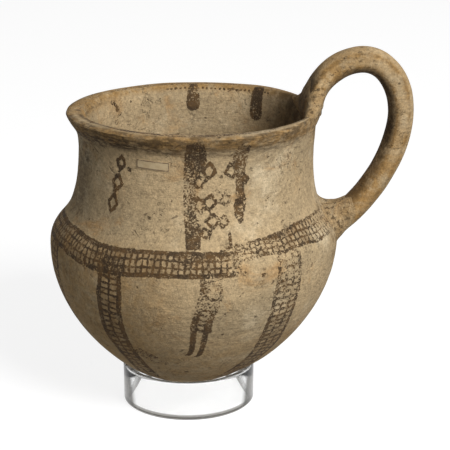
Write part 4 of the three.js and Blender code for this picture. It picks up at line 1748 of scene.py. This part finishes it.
@dataclass(frozen=True)
class HandleWearAndShade:
    """Where dirt, ochre, crumbled clay and painted shade lie on the strap.

    Stretches are shares of its length from the tip. Sides go from -1, away from the loop, to 1.
    """

    streaks: tuple[tuple[Pair, Pair], ...] = (
        ((-0.86, 0.1), (-0.1, -0.4)), ((-0.93, 0.06), (0.1, 0.4)),
    )
    torn_tip: Pair = (0.02, 0.14)
    torn_foot: Pair = (0.88, 0.985)
    # Painted shade on the side that faces the loop, darkest over one stretch, and on the side that
    # faces the mouth near the tip.
    loop_side: Pair = (0.2, 0.75)
    shaded_stretch: Zone = Zone(0.34, 0.72, 0.14)
    mouth_side: Pair = (-0.1, -0.6)
    mouth_stretch: Pair = (0.08, 0.16)
    tan_side: Pair = (-0.6, 0.3)
    tan_tip: Pair = (0.12, 0.4)
    tan_foot: Pair = (0.66, 0.86)

    def shares(self, turn: Array, share: Array) -> Array:
        """Streak dirt, ochre, crumbled clay, and painted shade.

        Args:
            turn: angles round the section, from the side that faces the loop.
            share: how far along the strap each place lies.

        Returns:
            Four shares for each place.
        """
        facing = np.cos(turn)
        streak = np.zeros_like(turn)
        for (middle, width), side in self.streaks:
            near = np.exp(-(((np.sin(turn) - middle) / width) ** 2))
            streak = np.maximum(streak, near * smooth_step(*side, facing))
        ends = np.maximum(1 - smooth_step(*self.torn_tip, share),
                          smooth_step(*self.torn_foot, share))
        # Painted shade on the loop side and, near the tip, on the mouth side.
        loop = smooth_step(*self.loop_side, facing) * (0.65 + 0.35 * self.shaded_stretch.share(share))
        by_mouth = 1 - smooth_step(*self.mouth_stretch, share)
        mouth = 0.95 * smooth_step(*self.mouth_side, facing) * by_mouth
        inner_half = 0.35 + 0.65 * smooth_step(*self.tan_side, facing)
        reached = np.maximum(1 - smooth_step(*self.tan_tip, share),
                             smooth_step(*self.tan_foot, share))
        tan = np.minimum(0.5 + 0.6 * inner_half * reached + 0.55 * streak, 1.15)
        return np.stack([0.4 * streak * (1 - ends), tan, ends, np.maximum(loop, mouth)], 1)


@dataclass
class Handle:
    """The loop strap, in millimetres."""

    stance: Stance
    wall: WallMap
    reach: float = 95.1
    rise: float = 21.9
    crown_reach: float = 76.1
    outermost_drop: float = 26.3
    foot_rise: float = 7.5
    foot_slope: float = 34
    sunk: float = 3.0
    thickness: float = 12.6
    depth: float = 15.5
    tip_thickness: float = 8.4
    tip_depth: float = 29.0
    tip_shift: float = 2.0
    tip_inset: float = 1.4
    foot_depth: float = 19.0
    squareness: float = 0.86
    tip_squareness: float = 0.5
    sides: int = 48
    stations: int = 44
    end_share: float = 0.2
    wear_and_shade: HandleWearAndShade = HandleWearAndShade()
    seed: float = 8.3

    def __post_init__(self) -> None:
        """Works out the middle line once."""
        self.line, self.along = self.middle_line()
        self.share = np.minimum(np.arange(len(self.line)) / (3 * self.stations), 1)

    @property
    def foot_level(self) -> float:
        """Level of the middle of the strap's foot."""
        return self.stance.form.belly_rise + self.foot_rise

    def middle_line(self) -> tuple[Array, Array]:
        """Places and directions along the middle of the strap.

        Returns:
            Both, as radius and level.
        """
        form = self.stance.form
        foot = (float(self.wall.girth(self.foot_level)), self.foot_level)
        tip = (form.neck_radius - self.tip_inset, form.lip_level - form.lip_crown)
        crown = (self.crown_reach, form.crown + self.rise)
        outermost = (self.reach, crown[1] - self.outermost_drop)
        slope = math.radians(self.foot_slope)
        pull = (self.reach - foot[0]) * 0.55
        curves = [
            [tip, (tip[0], tip[1] + (crown[1] - tip[1]) * 0.74),
             (crown[0] - (crown[0] - tip[0]) * 0.39, crown[1]), crown],
            [crown, (crown[0] + (outermost[0] - crown[0]) * 0.49, crown[1]),
             (outermost[0], outermost[1] + self.outermost_drop * 0.63), outermost],
            [outermost, (outermost[0], outermost[1] - (outermost[1] - foot[1]) * 0.39),
             (foot[0] + pull * math.cos(slope), foot[1] + pull * math.sin(slope)), foot],
        ]
        first, *others = [bezier(curve, self.stations) for curve in curves]
        places = np.vstack([first, *(part[1:] for part in others)])
        last = places[-1] - places[-2]
        places = np.vstack([places, places[-1] + last / np.linalg.norm(last) * self.sunk])
        along = np.gradient(places, axis=0)
        along /= np.linalg.norm(along, axis=1)[:, None]
        along[0] = (0, 1)
        return places, along

    def halves(self, share: Array) -> tuple[Array, Array, Array, Array]:
        """Half sizes of the section along the strap.

        Args:
            share: shares of the strap's length.

        Returns:
            Half thickness, half depth, and how far each share belongs to the tip and to the foot.
        """
        tip = 1 - smooth_step(0, self.end_share, share)
        foot = smooth_step(1 - self.end_share, 1, share)
        half = (self.thickness + (self.tip_thickness - self.thickness) * tip) / 2
        side = self.depth + (self.tip_depth - self.depth) * tip
        side += (self.foot_depth - self.depth) * foot
        return half, side / 2, tip, foot

    def skin(self, station: Array, turn: Array, shrink: object = 1.0) -> Array:
        """Places on the strap's skin.

        Args:
            station: number of the station along the strap, with parts of one allowed.
            turn: angle round the section, from the side that faces the loop.
            shrink: factor on the section.

        Returns:
            Places about the pot's axis, with levels as heights.
        """
        count = np.arange(len(self.line))
        line = np.stack([np.interp(station, count, self.line[:, i]) for i in range(2)], -1)
        along = np.stack([np.interp(station, count, self.along[:, i]) for i in range(2)], -1)
        half, side, tip, foot = self.halves(np.interp(station, count, self.share))
        power = self.squareness + (self.tip_squareness - self.squareness) * tip
        across = squared(np.cos(turn), power) * half * shrink
        y = squared(np.sin(turn), power) * side * shrink + self.tip_shift * tip
        bend = (tip + foot) * y * y / (2 * self.stance.form.neck_radius)
        return np.stack([line[..., 0] + along[..., 1] * across - bend, y,
                         line[..., 1] - along[..., 0] * across], -1)

    def skin_at(self, length: object, turn: Array, shrink: float = 1.0) -> Array:
        """Places on the strap's skin at distances from its tip."""
        station = np.interp(length, lengths(self.line), np.arange(len(self.line)))
        return self.skin(station, turn, shrink)

    def strap(self) -> Piece:
        """The strap, extruded station by station from a round at its tip.

        Returns:
            The rough strap.
        """
        half, side, _, _ = self.halves(self.share)
        angles = np.arctan2(self.along[:, 1], self.along[:, 0])
        Bench.clear()
        bpy.ops.mesh.primitive_circle_add(vertices=self.sides, radius=MM, fill_type="NGON")
        piece = Bench.named("loop_handle")
        Bench.edit()
        bpy.ops.transform.resize(value=(half[0], side[0], 1))
        bpy.ops.transform.translate(value=(self.line[0][0] * MM, 0, self.line[0][1] * MM))
        for i in range(1, len(self.line)):
            step = (self.line[i] - self.line[i - 1]) * MM
            centre = (self.line[i][0] * MM, 0, self.line[i][1] * MM)
            grow = half[i] / half[i - 1]
            Bench.extrude((step[0], 0, step[1]))
            bpy.ops.transform.rotate(value=angles[i] - angles[i - 1], orient_axis="Y",
                                     center_override=centre)
            bpy.ops.transform.resize(value=(grow, side[i] / side[i - 1], grow),
                                     center_override=centre)
        Bench.close()
        return piece

    def kneaded(self, points: Array) -> tuple[Array, Array]:
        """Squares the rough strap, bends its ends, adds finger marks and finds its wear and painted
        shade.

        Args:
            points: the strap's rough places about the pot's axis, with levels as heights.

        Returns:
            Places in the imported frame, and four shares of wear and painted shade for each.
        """
        flat = points[:, [0, 2]]
        gaps = flat[:, None, :] - self.line[None, :, :]
        off_plane = np.abs(np.einsum("vsk,sk->vs", gaps, self.along))
        station = np.argmin(off_plane + 0.002 * np.linalg.norm(gaps, axis=2), axis=1)
        middle = self.line[station]
        across_dir = np.stack([self.along[:, 1], -self.along[:, 0]], 1)[station]
        half, side, _, _ = self.halves(self.share[station])
        across = np.einsum("vk,vk->v", flat - middle, across_dir) / half
        deep = points[:, 1] / side
        on_skin = np.clip(np.hypot(across, deep), 0, 1)
        turn = np.arctan2(deep, across)
        spine = np.stack([middle[:, 0], points[:, 1] * 1.4, middle[:, 1]], 1)
        rough = 0.5 + 0.5 * lumps(spine, 17, self.seed)
        fine = 0.5 + 0.5 * lumps(points, 6.5, self.seed + 4)
        shrink = on_skin * (1 - (0.06 * rough + 0.03 * fine))
        out = self.stance.stood(self.skin(station, turn, shrink))
        return out, self.wear_and_shade.shares(turn, self.share[station])

    def build(self, work: ClayWork) -> None:
        """Models and dresses the strap.

        Args:
            work: the maker of clay materials.
        """
        piece = self.strap()
        places, worn = self.kneaded(Bench.places(piece))
        Bench.move(piece, places)
        Bench.note(piece, "wear_and_shade", worn)
        Bench.smooth(piece, 60)
        Bench.hand_in(piece, "handle", TANKARD_BODY, CLAY_SLOT, work.build("handle_clay"))


@dataclass
class Lutings:
    """Soft clay pressed round both ends of the strap and feathered out, in millimetres."""

    handle: Handle
    wall: WallMap
    foot_length: float = 15.0
    foot_stations: int = 28
    foot_fineness: int = 240
    foot_loop_spread: float = 9.5
    foot_loop_plump: float = 3.0
    foot_outer_spread: float = 2.6
    foot_side_spread: float = 5.6
    rim_side_spread: float = 12.5
    rim_drop: float = 8.5
    rim_rise: float = 11.0
    rim_least_rise: float = 3.5
    rim_plump: float = 5.0
    sunk: float = 0.35
    core: float = 1.6
    way_back: tuple[float, ...] = (0.85, 0.5, 0.15)
    strap_shrink: float = 0.93
    sides: int = 128
    rings: int = 26
    wear_and_shade: tuple[float, ...] = (0.0, 0.62, 1.2, 0.0)
    seed: float = 12.7

    def fillet(self, low: Array, corner: Array, high: Array, inward: Array) -> Array:
        """Rounds of a collar: a hollow curve from the pot to the strap, and back under the skin.

        Args:
            low: places on the pot.
            corner: places where the strap meets the pot.
            high: places on the strap.
            inward: directions from the collar's face to its core.

        Returns:
            The grid of places.
        """
        def curve(t: float) -> Array:
            """The round at a share of the way from the pot to the strap."""
            return (1 - t) ** 2 * low + 2 * t * (1 - t) * corner + t * t * high

        rounds = []
        for t in np.linspace(0, 1, self.rings):
            ridge = lumps(curve(t) * np.array([1, 1, 1.5]), 5.5, self.seed) * 0.55
            ridge += lumps(curve(t), 2.6, self.seed + 3) * 0.22
            rounds.append(curve(t) - inward * (ridge * math.sin(math.pi * t))[:, None])
        return np.array(rounds + [curve(t) + inward * self.core for t in self.way_back])

    @property
    def turn(self) -> Array:
        """Angles round the strap's section."""
        return np.arange(self.sides) / self.sides * FULL_TURN

    def foot_grid(self) -> Array:
        """The collar round the strap's foot.

        Returns:
            The grid of places.
        """
        handle, wall, turn = self.handle, self.wall, self.turn
        last = len(handle.line) - 1
        stations = np.linspace(last - self.foot_stations, last, self.foot_fineness)
        skin = handle.skin(*np.meshgrid(stations, turn, indexing="ij"))
        reach = np.hypot(skin[..., 0], skin[..., 1]) - wall.girth(skin[..., 2])
        touch = np.argmin(np.abs(reach), axis=0)
        corner = skin[touch, np.arange(self.sides)]
        away = corner - np.array([float(wall.girth(handle.foot_level)), 0, handle.foot_level])
        away /= np.linalg.norm(away, axis=1)[:, None]
        loop, outer = np.clip(np.cos(turn), 0, 1) ** 2, np.clip(-np.cos(turn), 0, 1) ** 2
        spread = loop * self.foot_loop_spread + outer * self.foot_outer_spread
        spread += np.sin(turn) ** 2 * self.foot_side_spread
        spread *= 1 + 0.35 * lumps(corner, 6, self.seed + 7)
        low = corner + away * spread[:, None]
        girth = wall.girth(low[:, 2]) - self.sunk
        turned = np.arctan2(low[:, 1], low[:, 0])
        low[:, 0], low[:, 1] = girth * np.cos(turned), girth * np.sin(turned)
        start = np.interp(stations[touch], np.arange(last + 1), lengths(handle.line))
        up_to = start - self.foot_length * (0.9 + 0.25 * lumps(corner, 7, self.seed + 9))
        high = handle.skin_at(up_to, turn, self.strap_shrink)
        out = corner + away * (0.5 + self.foot_loop_plump * loop)[:, None]
        return self.fillet(low, out, high, -away)

    def rim_grid(self) -> Array:
        """The collar where the strap's broad tip sits on the lip.

        Returns:
            The grid of places.
        """
        handle, wall, turn = self.handle, self.wall, self.turn
        cos, sin = np.cos(turn), np.sin(turn)
        rise = wall.form.crown - handle.line[0][1]
        foot = handle.skin_at(np.full(self.sides, rise - 1.5), turn)
        wobble = lumps(foot, 6, self.seed + 11)
        mouth_side = np.clip(-cos, 0, 1)
        climb = np.maximum(np.abs(sin), mouth_side) * (1 + 0.3 * wobble)
        up_to = rise + self.rim_least_rise + (self.rim_rise - self.rim_least_rise) * climb
        high = handle.skin_at(up_to, turn, self.strap_shrink)
        drop = (wall.mouth - wall.lip) / 2 + self.rim_drop * (1 + 0.25 * wobble)
        run = (wall.lip + wall.mouth) / 2 - squared(cos, 0.8) * drop
        reach = handle.tip_depth / 2 + self.rim_side_spread * np.abs(sin) * (1 + 0.3 * wobble)
        angle = np.degrees((squared(sin, 0.9) * reach + handle.tip_shift) / wall.radius(run))
        low = wall.skin(angle, run, -self.sunk - 0.3)
        inward = -np.stack([cos, sin * 1.6, np.full_like(cos, 0.0)], 1)
        inward /= np.linalg.norm(inward, axis=1)[:, None]
        flank = 0.85 * np.clip(np.abs(sin) - np.clip(cos, 0, 1), 0, 1)
        plump = 0.15 + self.rim_plump * np.maximum(mouth_side, flank)
        return self.fillet(low, foot - inward * plump[:, None], high, inward)

    def build(self, work: ClayWork) -> None:
        """Models and dresses both collars.

        Args:
            work: the maker of clay materials.
        """
        material = work.build("luting_clay")
        stance, mouth = self.handle.stance, self.wall.form.mouth_radius
        for name, node, grid in (("foot_luting", "lower_luting", self.foot_grid()),
                                 ("rim_luting", "upper_luting", self.rim_grid())):
            piece = Bench.wrapped(name, stance.stood(grid))
            places = Bench.places(piece)
            radius = np.hypot(places[:, 0] - stance.centre[0], places[:, 1] - stance.centre[1])
            wear_and_shade = np.tile(self.wear_and_shade, (len(places), 1))
            # Painted shade on the collar where it reaches into the mouth.
            wear_and_shade[:, 3] = 0.9 * (1 - smooth_step(mouth - 1, mouth + 5, radius))
            Bench.note(piece, "wear_and_shade", wear_and_shade)
            Bench.smooth(piece, 70)
            Bench.hand_in(piece, node, TANKARD_BODY, LUTING_SLOT, material)


@dataclass
class Label:
    """A small paper label pasted on the neck, in millimetres."""

    pot: Pot
    width: float = 15.5
    height: float = 4.2
    thickness: float = 0.2
    angle: float = -110.8
    level: float = 119.4
    tilt: float = -2.6
    paste: float = 0.02
    columns: int = 62
    rows: int = 18

    def build(self, finish: PaperFinish) -> None:
        """Models and dresses the label.

        Args:
            finish: its paper.
        """
        wall = self.pot.wall
        Bench.clear()
        columns, rows = self.columns, self.rows
        bpy.ops.mesh.primitive_grid_add(x_subdivisions=columns, y_subdivisions=rows, size=1)
        piece = Bench.named("paper_label")
        Bench.edit()
        bpy.ops.transform.resize(value=(self.width * MM, self.height * MM, 1))
        Bench.extrude((0, 0, self.thickness * MM))
        Bench.close()
        flat = Bench.places(piece)
        edges = np.array([self.width, self.height]) / 2 - np.abs(flat[:, :2])
        cos, sin = math.cos(math.radians(self.tilt)), math.sin(math.radians(self.tilt))
        across = flat[:, 0] * cos - flat[:, 1] * sin
        up = flat[:, 1] * cos + flat[:, 0] * sin
        run = wall.up(self.level) + up
        angle = self.angle + np.degrees(across / wall.radius(run))
        turn = np.radians(angle)
        radius = wall.radius(run)
        on_wall = np.stack([radius * np.cos(turn), radius * np.sin(turn), wall.level(run)], 1)
        skin = self.pot.shaped(on_wall, run)
        outward = np.stack([np.cos(turn), np.sin(turn), np.zeros_like(turn)], 1)
        Bench.move(piece, skin + outward * (flat[:, 2:] + self.paste))
        Bench.note(piece, "edges", np.column_stack([edges, np.zeros((len(flat), 2))]))
        Bench.smooth(piece, 50)
        Bench.hand_in(piece, "inventory_label", TANKARD_BODY, "label_paper", finish.build())


@dataclass
class DisplayRing:
    """The clear ring that the round base stands in, in millimetres."""

    centre: Pair
    outer: float = 31.75
    wall: float = 3.5
    height: float = 18.5
    chamfer: float = 0.5
    softening: float = 0.15
    steps: int = 192

    def build(self, finish: AcrylicFinish) -> None:
        """Models and dresses the ring.

        Args:
            finish: its acrylic.
        """
        bore, soft = self.outer - self.wall, self.chamfer
        corners = np.array([
            (bore + soft, 0), (self.outer - soft, 0), (self.outer, soft),
            (self.outer, self.height - soft), (self.outer - soft, self.height),
            (bore + soft, self.height), (bore, self.height - soft), (bore, soft), (bore + soft, 0),
        ])
        piece = Bench.turned("clear_ring", corners, self.steps)
        Bench.apply(piece, "BEVEL", width=self.softening * MM, segments=2, limit_method="ANGLE",
                    angle_limit=math.radians(30))
        Bench.move(piece, Bench.places(piece) + np.array([*self.centre, 0]))
        Bench.smooth(piece, 30)
        Bench.hand_in(piece, "display_ring", STAND_BODY, "clear_acrylic", finish.build())


# The setting


@dataclass(frozen=True)
class SoftBox:
    """One square lamp."""

    name: str
    place: Colour
    size: float
    power: float

    def build(self, aim: Vector) -> None:
        """Adds the lamp, turned to a point.

        Args:
            aim: the point.
        """
        Bench.clear()
        bpy.ops.object.light_add(type="AREA", location=self.place)
        lamp = bpy.context.object
        lamp.name = self.name
        lamp.data.shape = "SQUARE"
        lamp.data.size = self.size
        lamp.data.energy = self.power
        lamp.rotation_euler = (aim - Vector(self.place)).to_track_quat("-Z", "Y").to_euler()


@dataclass
class Studio:
    """Floor, lamps, world and camera."""

    centre: Vector
    distance: float = 0.699996
    eye_height: float = 0.299005
    pitch: float = 73.13
    yaw: float = -1.455
    lens: float = 123.011
    sensor: float = 36
    clip_end: float = 50
    aim_height: float = 0.09
    floor_size: float = 12.0
    floor_colour: Colour = (0.3, 0.3, 0.3)
    floor_glow: float = 0.84
    world_strength: float = 0.17
    boxes: tuple[SoftBox, ...] = (
        SoftBox("key_lamp", (0.71, -1.1, 1.08), 0.6, 29.2),
        SoftBox("fill_lamp", (-1.3, -1.1, 0.7), 1.2, 0.8),
        SoftBox("back_lamp", (0.2, 1.3, 1.3), 1.0, 3.0),
    )

    def seen(self, s: Sketch) -> Socket:
        """1 for rays that show the background to the camera, straight or by glass.

        Args:
            s: the sketch of the floor's or the world's nodes.

        Returns:
            The output.
        """
        paths = s.node("LightPath")
        bent = s.math("MAXIMUM", paths.outputs["Is Glossy Ray"],
                      paths.outputs["Is Transmission Ray"])
        return s.math("MAXIMUM", paths.outputs["Is Camera Ray"], bent)

    def floor(self) -> None:
        """The floor: grey to the light, pale to the camera, with its shadow kept."""
        Bench.clear()
        bpy.ops.mesh.primitive_plane_add(size=self.floor_size)
        piece = Bench.named("floor")
        material, s = new_material("studio_floor")
        plain = s.node("BsdfDiffuse", {"Color": self.floor_colour})
        glow = s.node("Emission", {"Strength": s.times(self.seen(s), self.floor_glow)})
        both = s.node("AddShader", {0: plain.outputs[0], 1: glow.outputs[0]})
        s.node("OutputMaterial", {"Surface": both.outputs[0]})
        piece.data.materials.append(material)

    def world(self) -> None:
        """Soft light from all round, and white where the camera sees past the floor."""
        world = bpy.data.worlds.new("studio")
        world.use_nodes = True
        world.node_tree.nodes.clear()
        s = Sketch(world.node_tree)
        strength = s.math("MAXIMUM", self.seen(s), self.world_strength)
        s.node("OutputWorld", {"Surface": s.node("Background", {"Strength": strength}).outputs[0]})
        bpy.context.scene.world = world

    def camera(self) -> None:
        """The camera at the photographed angle."""
        Bench.clear()
        place = (self.centre.x, self.centre.y - self.distance, self.eye_height)
        bpy.ops.object.camera_add(location=place,
                                  rotation=(math.radians(self.pitch), 0, math.radians(self.yaw)))
        camera = bpy.context.object
        camera.name = "camera"
        camera.data.lens = self.lens
        camera.data.sensor_width = self.sensor
        camera.data.clip_end = self.clip_end
        bpy.context.scene.camera = camera

    def build(self) -> None:
        """Sets up the whole studio."""
        self.floor()
        self.world()
        self.camera()
        for box in self.boxes:
            box.build(self.centre + Vector((0, 0, self.aim_height)))
        bpy.context.scene.view_settings.view_transform = "Standard"


def main() -> None:
    """Loads the frame, builds every piece on it and sets up the studio."""
    logging.basicConfig(level=logging.INFO, format="%(name)s: %(message)s")
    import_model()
    low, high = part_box("display_ring")
    middle = (low + high) / 2
    centre = (middle.x / MM, middle.y / MM)
    form = PotForm()
    wall = WallMap(form)
    stance = Stance(form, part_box("bowl")[0].z / MM, centre)
    work = ClayWork(ClayFinish(), PaintFinish(), BrushGroups(), Weathering().group())
    pot = Pot(stance, wall)
    pot.build(work)
    handle = Handle(stance, wall)
    handle.build(work)
    Lutings(handle, wall).build(work)
    Label(pot).build(PaperFinish())
    DisplayRing(centre).build(AcrylicFinish())
    Studio(Vector((middle.x, middle.y, 0))).build()


if __name__ == "__main__":
    main()
